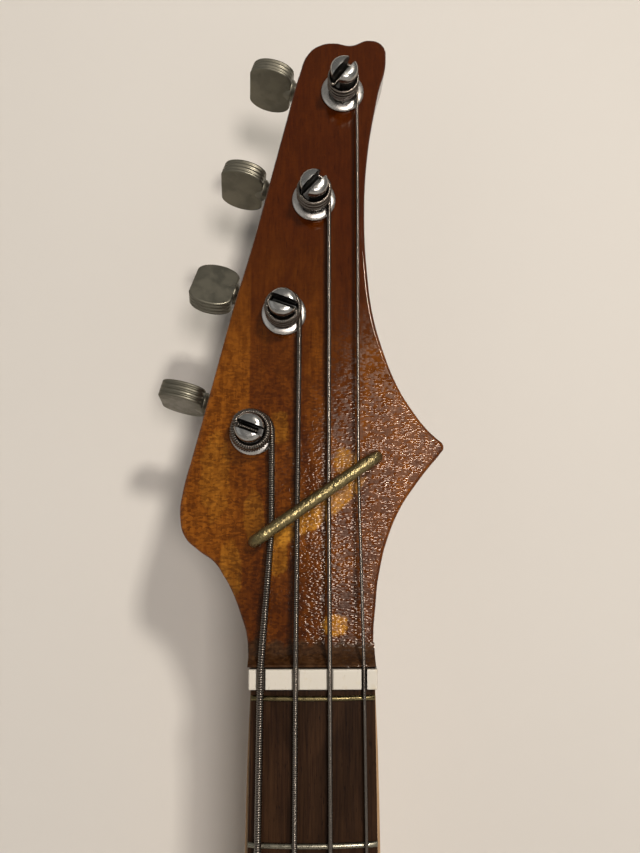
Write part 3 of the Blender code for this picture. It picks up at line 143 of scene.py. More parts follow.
# How far above the plate the strings are held in its lip, and half the width of a saddle's crest
ANCHOR_DEPTH = 3.4
CREST_HALF = 1.2
SADDLE_TRAVEL = 3.0
SADDLE_SCREW_Y = PLATE_TOP - BRIDGE_LIP_HEIGHT + 3.7
RETAINER_LOW = Vector((-20.0, 44.1))
RETAINER_HIGH = Vector((20.7, 71.7))
RETAINER_HEIGHT = 6.9
RETAINER_RADIUS = 1.6
FEET = (Vector((-20.3, 43.6)), Vector((22.2, 73.0)))


# Making and finishing pieces

def only(piece):
    """Selects one object and nothing else."""
    if bpy.context.mode != "OBJECT":
        bpy.ops.object.mode_set(mode="OBJECT")
    bpy.ops.object.select_all(action="DESELECT")
    piece.select_set(True)
    bpy.context.view_layer.objects.active = piece
    return piece


def edit(piece):
    """Opens one object for editing, with all of it selected."""
    only(piece)
    bpy.ops.object.mode_set(mode="EDIT")
    bpy.ops.mesh.select_all(action="SELECT")


def rounded_edges(piece, radius, segments, wanted):
    """Rounds those edges whose two ends are as wanted."""
    edit(piece)
    bpy.ops.mesh.select_all(action="DESELECT")
    for edge in bmesh.from_edit_mesh(piece.data).edges:
        edge.select_set(wanted(*edge.verts))
    bpy.ops.mesh.select_mode(type="EDGE")
    bpy.ops.mesh.bevel(offset=radius, segments=segments, affect="EDGES")
    bpy.ops.object.mode_set(mode="OBJECT")
    return piece


def outward(piece, close=None):
    """Merges a mesh's seam, closes what is open if told how, and turns every face outwards."""
    edit(piece)
    bpy.ops.mesh.remove_doubles(threshold=1e-5)
    if close == "holes":
        bpy.ops.mesh.fill_holes(sides=0)
    elif close == "rims":
        bpy.ops.mesh.select_all(action="DESELECT")
        bpy.ops.mesh.select_non_manifold(extend=False)
        bpy.ops.mesh.edge_face_add()
        bpy.ops.mesh.select_all(action="SELECT")
    bpy.ops.mesh.normals_make_consistent(inside=False)
    bpy.ops.object.mode_set(mode="OBJECT")
    return piece


def lofted(name, rings):
    """A body through rings of points: a grid is laid over them, and its seam and ends are closed."""
    bpy.ops.object.select_all(action="DESELECT")
    bpy.ops.mesh.primitive_grid_add(x_subdivisions=len(rings[0]), y_subdivisions=len(rings) - 1, size=1.0)
    piece = bpy.context.object
    piece.name = name
    places = [tuple(point) for ring in rings for point in (*ring, ring[0])]
    piece.data.vertices.foreach_set("co", np.array(places, np.float32).ravel())
    return outward(piece, "holes")


def prism(name, section, ends):
    """A body of one section, whose points are (y, z), between two places along X."""
    return lofted(name, [[(x, y, z) for y, z in section] for x in ends])


def turned(name, profile, steps, hollow=False):
    """A round body about Z: a circle is extruded and sized along a profile of (radius, height)."""
    radius, height = profile[0]
    bpy.ops.object.select_all(action="DESELECT")
    bpy.ops.mesh.primitive_circle_add(vertices=steps, radius=radius, location=(0, 0, height))
    piece = bpy.context.object
    piece.name = name
    bpy.ops.object.transform_apply(location=True)
    edit(piece)
    for wide, high in profile[1:]:
        bpy.ops.mesh.extrude_edges_move(TRANSFORM_OT_translate={"value": (0, 0, high - height)})
        share = wide / radius
        bpy.ops.transform.resize(value=(share, share, 1), center_override=(0, 0, 0))
        radius, height = wide, high
    if hollow:
        bpy.ops.mesh.select_all(action="DESELECT")
        bpy.ops.mesh.select_non_manifold(extend=False)
        bpy.ops.mesh.bridge_edge_loops()
    bpy.ops.object.mode_set(mode="OBJECT")
    return outward(piece, "rims")


def drill(radius, low, high, steps, place=WORLD):
    """A round rod to cut a hole with, or to add."""
    return moved(turned("drill", [(radius, low), (radius, high)], steps), place)


def block(name, low, high, corner=0.0, segments=6):
    """A box between two corners, with rounded upright edges if a radius is given."""
    middle = [(a + b) / 2 for a, b in zip(low, high)]
    bpy.ops.object.select_all(action="DESELECT")
    bpy.ops.mesh.primitive_cube_add(size=1.0, location=middle, scale=[b - a for a, b in zip(low, high)])
    piece = bpy.context.object
    piece.name = name
    bpy.ops.object.transform_apply(location=True, scale=True)
    if corner:
        rounded_edges(piece, corner, segments, lambda one, two: abs(one.co.z - two.co.z) > 1e-6)
    return piece


def plate(name, outline, thickness, resolution=10, grow=0.0):
    """A flat body, centred on its thickness, whose outline is smooth but for the points marked as corners."""
    bpy.ops.object.select_all(action="DESELECT")
    bpy.ops.curve.primitive_bezier_circle_add()
    piece = bpy.context.object
    piece.name = name
    curve = piece.data
    curve.dimensions = "2D"
    curve.fill_mode = "NONE"
    curve.resolution_u = resolution
    curve.extrude = thickness / 2
    curve.offset = grow
    curve.splines.clear()
    spline = curve.splines.new("BEZIER")
    spline.use_cyclic_u = True
    spline.bezier_points.add(len(outline) - 1)
    for point, (x, y, *corner) in zip(spline.bezier_points, outline):
        point.co = (x, y, 0)
        point.handle_left_type = point.handle_right_type = "VECTOR" if corner else "AUTO"
    bpy.ops.object.convert(target="MESH")
    return outward(bpy.context.object, "rims")


def round_rims(piece, half, radius, segments):
    """Rounds the rims of a flat body, whose faces lie at plus and minus a half thickness."""
    def on_rim(one, two):
        level = abs(one.co.z - two.co.z) < 1e-4
        return level and all(abs(abs(end.co.z) - half) < 1e-4 for end in (one, two))

    return outward(rounded_edges(piece, radius, segments, on_rim))


def soften(piece, width, segments, angle=30.0):
    """Rounds every edge sharper than an angle."""
    bevel = piece.modifiers.new("softened edges", "BEVEL")
    bevel.width = width
    bevel.segments = segments
    bevel.limit_method = "ANGLE"
    bevel.angle_limit = math.radians(angle)
    return apply_modifiers(piece)


def apply_modifiers(piece):
    only(piece)
    for modifier in list(piece.modifiers):
        bpy.ops.object.modifier_apply(modifier=modifier.name)
    return piece


def boolean(piece, tool, operation):
    change = piece.modifiers.new(operation.lower(), "BOOLEAN")
    change.operation = operation
    change.solver = "MANIFOLD"
    change.object = tool
    apply_modifiers(piece)
    bpy.data.objects.remove(tool)
    return piece


def cut(piece, *tools):
    for tool in tools:
        boolean(piece, tool, "DIFFERENCE")
    return piece


def cut_cross(piece, arm, half, low, high):
    """Cuts a cross recess, as a screwdriver fits, into what stands about Z."""
    for turn in (0.0, math.pi / 2):
        slot = block("recess", (-arm, -half, low), (arm, half, high))
        cut(piece, moved(slot, Matrix.Rotation(turn, 4, "Z")))
    return piece


def join(*pieces):
    """One object from several, each part keeping its own closed shell."""
    only(pieces[0])
    for piece in pieces[1:]:
        piece.select_set(True)
    bpy.ops.object.join()
    return pieces[0]


def moved(piece, matrix):
    """Moves the mesh itself, so that the object stays at the origin."""
    piece.data.transform(matrix)
    if matrix.determinant() < 0:
        piece.data.flip_normals()
    piece.data.update()
    return piece


def copied(piece, name):
    twin = piece.copy()
    twin.data = piece.data.copy()
    twin.name = name
    bpy.context.scene.collection.objects.link(twin)
    return twin


def facing(point, direction):
    """Stands a turned piece at a point with its Z along a direction."""
    return Matrix.Translation(point) @ Vector(direction).to_track_quat("Z", "X").to_matrix().to_4x4()


def kept_part(node, name, point, normal):
    """The part of a solid's mesh behind a plane, closed where it is cut."""
    piece = copied(frame["nodes"][node], name)
    piece.parent = None
    for key in list(piece.keys()):
        del piece[key]
    edit(piece)
    bpy.ops.mesh.remove_doubles(threshold=1e-7)
    bpy.ops.mesh.bisect(plane_co=point, plane_no=normal, use_fill=True, clear_outer=True)
    bpy.ops.object.mode_set(mode="OBJECT")
    return piece


def finished(piece, name, finish, body, slot, *nodes, angle=40.0, weighted=False, place=NECK):
    """Puts a piece in its place, and gives it its finish, its body and the solids it replaces; the slot given
    is not used.
    """
    moved(piece, place)
    piece.name = name
    piece.data.name = name
    only(piece)
    bpy.ops.object.shade_smooth_by_angle(angle=math.radians(angle))
    if weighted:
        piece.modifiers.new("flat faces stay flat", "WEIGHTED_NORMAL").keep_sharp = True
        apply_modifiers(piece)
    piece.data.materials.clear()
    piece.data.materials.append(finishes[finish])
    if body:
        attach(piece, body)
    if nodes:
        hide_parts(*nodes)
    return piece


def joint_place(name):
    return Vector(joints[name]["pos_m"])


def joint_axis(name):
    return Vector(joints[name]["axis"]).normalized()


def tuner_frame(name):
    """A tuner's own frame, from its two joints."""
    post = f"tuner_post_{name}_turn"
    up = joint_axis(post)
    along = joint_axis(f"tuner_key_{name}_turn")
    turn = Matrix((along, up.cross(along), up)).transposed().to_4x4()
    return Matrix.Translation(joint_place(post)) @ turn @ IN_MM


# Shader groups

def node(tree, kind, inputs=None, **settings):
    """Adds a shader node, and links or sets its inputs."""
    made = tree.nodes.new(kind)
    for key, value in settings.items():
        setattr(made, key, value)
    for key, value in (inputs or {}).items():
        if isinstance(value, bpy.types.NodeSocket):
            tree.links.new(value, made.inputs[key])
        else:
            made.inputs[key].default_value = value
    return made


def maths(tree, operation, one, two):
    return node(tree, "ShaderNodeMath", {0: one, 1: two}, operation=operation).outputs[0]


def times(tree, value, *others):
    """The product of two or more values."""
    for other in others:
        value = maths(tree, "MULTIPLY", value, other)
    return value


def ramp(tree, value, low, high, to_low=0.0, to_high=1.0):
    """Carries a value from one range smoothly into another."""
    inputs = {"Value": value, "From Min": low, "From Max": high, "To Min": to_low, "To Max": to_high}
    return node(tree, "ShaderNodeMapRange", inputs, interpolation_type="SMOOTHSTEP").outputs[0]


def noise(tree, vector, scale, detail=3.0, roughness=0.5, bend=0.0):
    inputs = {"Vector": vector, "Scale": scale, "Detail": detail, "Roughness": roughness, "Distortion": bend}
    return node(tree, "ShaderNodeTexNoise", inputs).outputs["Fac"]


def mixed(tree, factor, one, two, blend="MIX"):
    """Two colours mixed, each a socket or three numbers."""
    made = node(tree, "ShaderNodeMix", {"Factor": factor}, data_type="RGBA", blend_type=blend)
    for name, value in (("A", one), ("B", two)):
        socket = [s for s in made.inputs if s.name == name and s.type == "RGBA"][0]
        if isinstance(value, bpy.types.NodeSocket):
            tree.links.new(value, socket)
        else:
            socket.default_value = (*value[:3], 1.0)
    return [s for s in made.outputs if s.type == "RGBA"][0]


def axis(tree, vector, name):
    return node(tree, "ShaderNodeSeparateXYZ", {0: vector}).outputs[name]


def stretched(tree, vector, scale):
    return node(tree, "ShaderNodeMapping", {"Vector": vector, "Scale": scale}).outputs["Vector"]


groups = {}


def new_group(name, inputs, outputs):
    """An empty shader group: a vector and numbers go in, numbers come out."""
    group = bpy.data.node_groups.new(name, "ShaderNodeTree")
    group.interface.new_socket("Vector", in_out="INPUT", socket_type="NodeSocketVector")
    for socket, value in inputs.items():
        made = group.interface.new_socket(socket, in_out="INPUT", socket_type="NodeSocketFloat")
        made.default_value = value
    for socket in outputs:
        group.interface.new_socket(socket, in_out="OUTPUT", socket_type="NodeSocketFloat")
    groups[name] = group
    return group, group.nodes.new("NodeGroupInput").outputs, group.nodes.new("NodeGroupOutput").inputs


def wood_figure_group():
    """Long grain lines along Z, with soft broad figure, mottling and small dark pores."""
    group, given, result = new_group(
        "Wood figure", {"Grain": 900.0, "Broad": 45.0}, ("Lines", "Figure", "Mottle", "Pores")
    )
    for name, source, finer, run, detail, roughness, bend, low, high in (
        ("Lines", "Grain", 1.0, 0.035, 4.0, 0.62, 0.3, 0.3, 0.72),
        ("Figure", "Broad", 1.0, 0.28, 3.0, 0.55, 1.2, 0.32, 0.68),
        ("Mottle", "Broad", 6.5, 0.45, 4.0, 0.62, 0.8, 0.33, 0.67),
        ("Pores", "Grain", 1.6, 0.12, 2.0, 0.5, 0.0, 0.63, 0.75),
    ):
        vector = stretched(group, given["Vector"], (1.0, 1.0, run))
        cloud = noise(group, vector, times(group, given[source], finer), detail, roughness, bend)
        group.links.new(ramp(group, cloud, low, high), result[name])


def lacquer_group():
    """The orange-peel surface of a thick lacquer, and the haze of handling on it."""
    group, given, result = new_group(
        "Lacquer surface", {"Peel": 1120.0, "Haze": 70.0}, ("Height", "Specks", "Haze")
    )
    bent = noise(group, given["Vector"], times(group, given["Peel"], 0.4), 2.0)
    flat = stretched(group, given["Vector"], (0.65, 1.0, 1.35))
    cells = node(group, "ShaderNodeTexVoronoi", {"Vector": flat, "Scale": given["Peel"]}).outputs
    dome = times(group, cells["Distance"], cells["Distance"])
    group.links.new(maths(group, "SUBTRACT", times(group, bent, 0.9), dome), result["Height"])
    tint = maths(group, "ADD", axis(group, cells["Color"], "X"), bent)
    group.links.new(ramp(group, tint, 0.55, 1.45), result["Specks"])
    group.links.new(ramp(group, noise(group, given["Vector"], given["Haze"]), 0.3, 0.75), result["Haze"])


def metal_wear_group():
    """Fine scratches, dull patches and dark tarnish on metal."""
    group, given, result = new_group("Metal wear", {"Size": 300.0}, ("Patches", "Tarnish", "Height"))
    patches = noise(group, given["Vector"], given["Size"], 4.0, 0.6)
    group.links.new(ramp(group, patches, 0.32, 0.7), result["Patches"])
    spots = noise(group, given["Vector"], times(group, given["Size"], 2.7), 3.0, 0.6)
    group.links.new(ramp(group, spots, 0.56, 0.76), result["Tarnish"])
    scratch = stretched(group, given["Vector"], (1.0, 3.0, 0.25))
    group.links.new(noise(group, scratch, times(group, given["Size"], 4.0), 2.0), result["Height"])


def grouped(tree, name, vector, **values):
    made = node(tree, "ShaderNodeGroup", node_tree=groups[name])
    tree.links.new(vector, made.inputs["Vector"])
    for key, value in values.items():
        made.inputs[key].default_value = value
    return made.outputs


def new_material(name, **sockets):
    """A material, its tree, its shader and its object coordinates."""
    made = bpy.data.materials.new(name)
    made.use_nodes = True
    tree = made.node_tree
    shader = tree.nodes["Principled BSDF"]
    for key, value in sockets.items():
        shader.inputs[key.replace("_", " ")].default_value = value
    place = node(tree, "ShaderNodeTexCoord").outputs["Object"]
    return made, tree, shader, place


def bumped(tree, shader, height, strength, distance):
    bump = node(tree, "ShaderNodeBump", {"Height": height, "Strength": strength, "Distance": distance})
    tree.links.new(bump.outputs["Normal"], shader.inputs["Normal"])


def spot(tree, place, x, z, wide, high, slant):
    """One soft-edged patch at a place on the headstock's front, given in metres."""
    shift = Matrix.Rotation(slant, 3, "Y") @ Vector((-x, 0.0, -z))
    inputs = {"Vector": place, "Location": shift, "Rotation": (0.0, slant, 0.0)}
    turned_place = node(tree, "ShaderNodeMapping", inputs).outputs[0]
    sized = stretched(tree, turned_place, (1 / wide, 0.0, 1 / high))
    distance = node(tree, "ShaderNodeVectorMath", {0: sized}, operation="LENGTH").outputs["Value"]
    return ramp(tree, distance, 0.35, 1.0, 1.0, 0.0)


def front_only(tree, place):
    """One on the headstock's front and nought on its back."""
    way = (FACE.to_3x3() @ Vector((0, 0, 1))).normalized()
    along = node(tree, "ShaderNodeVectorMath", {0: place, 1: way}, operation="DOT_PRODUCT").outputs["Value"]
    surface = way.dot(FACE.translation) * MM
    return ramp(tree, along, surface - 5 * MM, surface - 3 * MM)


# Where the stain is thin on the headstock: x and z of the place, width, height, slant and strength
THIN_STAIN = (
    (-0.0125, 0.0375, 0.0065, 0.010, 0.0, 0.35),
    (0.001, 0.0085, 0.032, 0.0085, 0.6, 0.9),
    (0.012, 0.025, 0.007, 0.009, 0.6, 0.6),
    (0.0078, -0.0315, 0.0075, 0.006, 0.0, 1.0),
    (-0.029, -0.013, 0.006, 0.018, 0.0, 0.3),
    (-0.035, 0.020, 0.008, 0.026, 0.0, 0.25),
    (-0.021, 0.006, 0.006, 0.014, 0.0, 0.25),
    (-0.012, -0.008, 0.005, 0.011, 0.0, 0.5),
)


def headstock_stain_and_shade(tree, place, x, z, colour, colours):
    """The headstock's colours: golden at the bass side, dark at the tip, greyer by the nut, and darker low
    down, partly stain and partly painted string shade.
    """
    # The golden strip on the bass side, between the second and the lowest post
    strip = times(tree, ramp(tree, x, -0.0236, -0.0228, 1.0, 0.0), ramp(tree, z, 0.02, 0.05),
                  ramp(tree, z, 0.085, 0.11, 1.0, 0.0))
    colour = mixed(tree, strip, colour, colours.golden)
    low_left = times(tree, ramp(tree, x, -0.018, -0.034), ramp(tree, z, 0.045, 0.01), 0.9)
    colour = mixed(tree, low_left, colour, colours.golden)
    colour = mixed(tree, times(tree, ramp(tree, z, 0.055, 0.12), 0.85), colour, colours.dark_top)
    front = front_only(tree, place)
    # Painted shade: lower down towards the nut the colour darkens, partly stain and partly the strings'
    # shadow painted in
    low = times(tree, ramp(tree, z, 0.0, -0.024, 0.0, 0.7), front)
    colour = mixed(tree, low, colour, (0.5, 0.42, 0.36), "MULTIPLY")
    across = stretched(tree, place, (1.0, 1.0, 0.6))
    ragged = times(tree, noise(tree, across, 420.0, 4.0, 0.6), 1.5)
    for *patch, strength in THIN_STAIN:
        edge = maths(tree, "ADD", spot(tree, place, *patch), ragged)
        thin = times(tree, ramp(tree, edge, 1.2, 1.6, 0.0, strength), front)
        colour = mixed(tree, thin, colour, colours.yellow)
    # Just above the nut the wood turns darker and greyer
    worn = maths(tree, "ADD", z, times(tree, noise(tree, across, 260.0), 0.008))
    worn = times(tree, ramp(tree, worn, -0.0315, -0.0345, 0.0, 0.9), front)
    return mixed(tree, worn, colour, colours.near_nut)


def lacquered_wood(name, colours, with_headstock=False):
    """Amber-stained wood under a thick uneven lacquer."""
    made, tree, shader, place = new_material(
        name, Specular_IOR_Level=0.26, Specular_Tint=(1.0, 0.86, 0.74, 1.0)
    )
    wood = grouped(tree, "Wood figure", place)
    lacquer = grouped(tree, "Lacquer surface", place)
    x, z = axis(tree, place, "X"), axis(tree, place, "Z")
    colour = mixed(tree, wood["Figure"], colours.red_brown, colours.orange)
    if with_headstock:
        colour = headstock_stain_and_shade(tree, place, x, z, colour, colours)
    tone = mixed(tree, wood["Mottle"], (0.76, 0.68, 0.5), (1.18, 1.2, 1.15))
    colour = mixed(tree, ramp(tree, z, 0.04, 0.12, 1.0, 0.4), colour, tone, "MULTIPLY")
    # The lacquer is most uneven on the headstock; there bright flecks are painted into the colour as painted
    # glints, with darker ones between
    headstock = ramp(tree, z, -0.0465, -0.0445)
    fleck = mixed(tree, lacquer["Specks"], (0.72, 0.66, 0.6), (1.5, 1.5, 1.4))
    painted_glint_share = times(tree, ramp(tree, z, 0.03, 0.1, 0.85, 0.1), headstock)
    colour = mixed(tree, painted_glint_share, colour, fleck, "MULTIPLY")
    if with_headstock:
        # Below the nut the neck is left in its pale natural colour
        pale = mixed(tree, wood["Lines"], colours.maple, [c * 0.78 for c in colours.maple])
        colour = mixed(tree, ramp(tree, z, -0.0445, -0.0475), colour, pale)
    colour = mixed(tree, times(tree, wood["Lines"], 0.4), colour, (0.4, 0.3, 0.2), "MULTIPLY")
    colour = mixed(tree, times(tree, wood["Pores"], 0.45), colour, (0.25, 0.18, 0.14), "MULTIPLY")
    tree.links.new(colour, shader.inputs["Base Color"])
    # Small dull flecks lie among the glossy ones where the surface is most pebbled
    haze = ramp(tree, lacquer["Haze"], 0.0, 1.0, 0.05, 0.11)
    dull = times(tree, ramp(tree, lacquer["Specks"], 0.54, 0.36), ramp(tree, z, 0.03, 0.1, 0.4, 0.0),
                 ramp(tree, x, -0.003, 0.018), headstock)
    tree.links.new(maths(tree, "ADD", haze, dull), shader.inputs["Roughness"])
    # The lacquer lies smooth at the tip and pebbled lower down, most of all on the treble side
    pebbled = times(tree, lacquer["Height"], ramp(tree, z, 0.015, 0.1, 1.0, 0.05),
                    ramp(tree, x, -0.02, 0.026, 0.3, 1.0), ramp(tree, headstock, 0.0, 1.0, 0.12, 1.0))
    bumped(tree, shader, pebbled, 1.0, 0.00011)
    return made


def rosewood(colours):
    made, tree, shader, place = new_material("oiled rosewood", Specular_IOR_Level=0.08)
    wood = grouped(tree, "Wood figure", place, Grain=1400.0, Broad=90.0)
    colour = mixed(tree, wood["Figure"], colours.rosewood, [c * 1.7 for c in colours.rosewood])
    colour = mixed(tree, wood["Lines"], colour, (0.42, 0.36, 0.33), "MULTIPLY")
    colour = mixed(tree, wood["Pores"], colour, (0.2, 0.17, 0.15), "MULTIPLY")
    tree.links.new(colour, shader.inputs["Base Color"])
    tree.links.new(ramp(tree, wood["Figure"], 0.0, 1.0, 0.38, 0.55), shader.inputs["Roughness"])
    bumped(tree, shader, maths(tree, "SUBTRACT", wood["Lines"], wood["Pores"]), 0.35, 0.0001)
    return made


def bone(colours):
    """Ivory-white bone, stained yellow in places, with painted shade deep in its notches."""
    made, tree, shader, place = new_material("bone")
    stain = ramp(tree, noise(tree, place, 210.0, 4.0, 0.6), 0.52, 0.74)
    colour = mixed(tree, times(tree, stain, 0.4), colours.bone, (0.5, 0.4, 0.2))
    fleck = ramp(tree, noise(tree, stretched(tree, place, (1.0, 1.0, 0.3)), 1300.0, 2.0), 0.66, 0.78)
    colour = mixed(tree, times(tree, fleck, 0.35), colour, (0.3, 0.22, 0.12))
    # Painted shade: the notches go near-black from about half a millimetre below the crown
    crown = NECK.translation.y - NUT_RISE * MM
    painted_notch_shade = ramp(tree, axis(tree, place, "Y"), crown + 0.45 * MM, crown + 1.1 * MM)
    tree.links.new(mixed(tree, painted_notch_shade, colour, (0.018, 0.014, 0.01)), shader.inputs["Base Color"])
    tree.links.new(ramp(tree, stain, 0.0, 1.0, 0.28, 0.45), shader.inputs["Roughness"])
    return made


def metal(name, colour, roughness, size, tarnish, dark, bump, depth=0.00005):
    """A worn metal: patches of duller surface, tarnish in spots and fine scratches."""
    made, tree, shader, place = new_material(name, Metallic=1.0)
    wear = grouped(tree, "Metal wear", place, Size=size)
    shade = mixed(tree, times(tree, wear["Patches"], 0.35), colour, [c * 0.7 for c in colour])
    shade = mixed(tree, times(tree, wear["Tarnish"], tarnish), shade, [c * dark for c in colour])
    tree.links.new(shade, shader.inputs["Base Color"])
    rough = ramp(tree, wear["Patches"], 0.0, 1.0, roughness * 0.8, roughness * 1.35)
    rough = maths(tree, "ADD", rough, times(tree, wear["Tarnish"], 0.12))
    tree.links.new(rough, shader.inputs["Roughness"])
    if bump:
        bumped(tree, shader, wear["Height"], bump, depth)
    return made


def plastic(name, colour, roughness, grain=0.0):
    """A plain plastic with a faint haze, and a fine grain if asked."""
    made, tree, shader, place = new_material(name)
    haze = ramp(tree, noise(tree, place, 160.0, 4.0), 0.3, 0.7)
    shade = mixed(tree, times(tree, haze, 0.4), colour, [c * 1.8 for c in colour])
    tree.links.new(shade, shader.inputs["Base Color"])
    tree.links.new(ramp(tree, haze, 0.0, 1.0, roughness * 0.8, roughness * 1.2), shader.inputs["Roughness"])
    if grain:
        bumped(tree, shader, noise(tree, place, 2600.0, 2.0), grain, 0.0001)
    return made


finishes = {}


def make_finishes(colours):
    """Every finish, made once and shared by the pieces."""
    wood_figure_group()
    lacquer_group()
    metal_wear_group()
    finishes["head"] = lacquered_wood("stained headstock under lacquer", colours, with_headstock=True)
    finishes["body"] = lacquered_wood("stained body under lacquer", colours)
    finishes["rosewood"] = rosewood(colours)
    finishes["bone"] = bone(colours)
    fret_brass = [c * 0.7 for c in colours.brass]
    # A near-black chrome, painted shade for the posts' barrels under the windings and the walls of their
    # slots
    tarnished = [c * 0.1 for c in colours.chrome]
    for key, name, colour, *wear in (
        ("brass", "aged brass", colours.brass, 0.27, 330.0, 0.75, 0.25, 1.0, 0.00028),
        ("fret_brass", "fret brass", fret_brass, 0.3, 500.0, 0.6, 0.3, 0.1),
        ("nickel", "satin nickel", colours.nickel, 0.42, 140.0, 0.08, 0.7, 0.04),
        ("fret", "fret wire", (0.2, 0.185, 0.14), 0.27, 500.0, 0.3, 0.4, 0.05),
        ("chrome", "worn chrome", colours.chrome, 0.19, 330.0, 0.6, 0.3, 0.3),
        ("plated", "plated steel", colours.chrome, 0.2, 200.0, 0.2, 0.4, 0.05),
        ("flange", "polished flange", (0.5, 0.475, 0.44), 0.27, 330.0, 0.4, 0.25, 0.2),
        ("tarnished", "tarnished barrel", tarnished, 0.4, 500.0, 0.3, 0.5, 0.1),
        ("string", "wound string", colours.string, 0.2, 700.0, 0.3, 0.4, 0.0),
        ("steel", "screw steel", (0.42, 0.41, 0.39), 0.3, 400.0, 0.25, 0.4, 0.1),
    ):
        finishes[key] = metal(name, colour, *wear)
    finishes["plastic"] = plastic("black plastic", (0.018, 0.018, 0.018), 0.32, 0.05)
    finishes["cover"] = plastic("black cover plate", (0.02, 0.02, 0.021), 0.42, 0.25)
    finishes["pearl"] = plastic("pearl dot", (0.62, 0.6, 0.54), 0.25)


# The neck and headstock

HEAD_OUTLINE = [
    (-26.0, 25.4), (-28.8, 27.6), (-31.0, 30.8), (-34.6, 36.0), (-40.6, 40.4), (-45.4, 45.0),
    (-47.3, 52.3), (-46.3, 62.2), (-43.6, 73.0), (-37.6, 97.0), (-29.8, 128.5), (-23.6, 151.0),
    (-10.6, 203.4), (-5.9, 222.0), (-2.0, 232.1), (3.0, 235.7), (8.4, 236.4), (14.4, 235.5),
    (21.8, 237.8), (27.0, 235.6), (28.2, 229.5), (24.9, 214.6), (20.6, 189.0), (19.2, 163.0),
    (20.2, 141.0), (22.0, 126.5), (25.0, 114.8), (30.9, 99.1), (36.6, 89.6), (41.2, 83.6),
    (44.6, 80.3), (46.7, 78.4), (47.1, 76.7), (45.9, 74.8), (41.5, 69.6), (36.9, 63.7),
    (31.0, 55.0), (25.9, 43.0), (23.9, 35.5), (23.2, 32.0), (22.6, 29.2), (21.2, 26.8),
    (18.0, 25.2), (0.0, 24.4),
]
# The neck's half width at places up the headstock's face, on each side
BASS_EDGE = [
    (0.0, 22.0), (4.4, 22.4), (9.1, 22.7), (12.8, 23.4), (16.6, 24.7), (21.4, 26.4),
    (25.2, 28.0), (29.6, 30.3), (36.0, 34.4),
]
TREBLE_EDGE = [
    (0.0, 21.3), (8.0, 20.9), (13.8, 21.1), (20.3, 21.8), (26.0, 22.35), (29.0, 22.75),
    (32.0, 23.3), (36.0, 24.1),
]


def between(pairs, at):
    """Reads a value off a list of (place, value), going evenly from one to the next."""
    return float(np.interp(at, *zip(*pairs)))


def fret_z(number):
    return -SCALE_LENGTH * (1 - 2 ** (-number / 12))


BOARD_END = fret_z(FRET_COUNT) - BOARD_OVERHANG
HEEL_TOP = BOARD_END + HEEL_LENGTH


def board_half_width(z):
    return (NUT_END_WIDTH + 20.0 * max(0.0, -z) / 600.0) / 2


def board_drop(x):
    return BOARD_RADIUS - math.sqrt(BOARD_RADIUS**2 - x**2)


def neck_section(z, left, right, top, back, power, edge):
    """One section of the neck: its front edges eased by a radius, a superellipse behind."""
    eased = []
    for step in range(5):
        angle = math.pi / 2 * step / 4
        eased.append((edge * (1 - math.sin(angle)), top + edge * (1 - math.cos(angle))))
    ring = [(right - inset, y, z) for inset, y in eased]
    steps = 40
    for step in range(1, steps):
        angle = math.pi * step / steps
        across = math.copysign(abs(math.cos(angle)) ** (2 / power), math.cos(angle))
        deep = abs(math.sin(angle)) ** (2 / power)
        side = right if across > 0 else left
        ring.append((across * side, top + edge + deep * (back - top - edge), z))
    return ring + [(inset - left, y, z) for inset, y in reversed(eased)]


def neck_shaft():
    """The neck from its squared heel to where it runs into the headstock."""
    sharp = 0.15
    depths = [
        (BOARD_END, HEEL_DEPTH), (HEEL_TOP, HEEL_DEPTH), (HEEL_TOP + 40, 18.0), (fret_z(5), 16.75),
        (0.0, NECK_DEPTH_NUT),
    ]
    powers = [
        (BOARD_END, 9.0), (HEEL_TOP, 9.0), (HEEL_TOP + 10, 6.0), (HEEL_TOP + 20, 3.4), (HEEL_TOP + 40, 2.1),
    ]
    proud = [(HEEL_TOP + 40, NECK_PROUD), (-300.0, 1.2), (-25.0, 1.2), (0.0, NECK_PROUD)]
    stations = [BOARD_END, BOARD_END + 20, BOARD_END + 60, HEEL_TOP]
    stations += [HEEL_TOP + 4 * step for step in range(1, 11)]
    stations += list(np.linspace(HEEL_TOP + 50, 0.0, 26))
    rings = []
    for z in stations:
        half = board_half_width(z) + between(proud, z)
        back = BOARD_THICKNESS + between(depths, z)
        rings.append(neck_section(z, half, half, BOARD_THICKNESS, back, between(powers, z), sharp))
    # Up the headstock's face the neck's round back runs out into the flat one
    steps = 22
    run_out = 24.0
    for step in range(1, steps + 1):
        u = 32.0 * step / steps
        share = min(1.0, u / run_out)
        eased = share * share * (3 - 2 * share)
        z = HEAD_RISE + u * math.cos(HEAD_TILT)
        face = HEAD_DROP + u * math.sin(HEAD_TILT)
        back = face + HEAD_THICKNESS / math.cos(HEAD_TILT) - 0.03
        swell = max(0.0, (NECK_DEPTH_NUT + BOARD_THICKNESS - back) * (1 - eased))
        power = 2.1 + 11.9 * eased**2
        edge = sharp + 1.15 * min(1.0, u / 14.0)
        inside = 0.12 * min(1.0, max(0.0, u - run_out) / 6.0)
        left = between(BASS_EDGE, u) - inside
        right = between(TREBLE_EDGE, u) - inside
        rings.append(neck_section(z, left, right, face + 0.03, back + swell, power, edge))
    return lofted("neck shaft", rings)


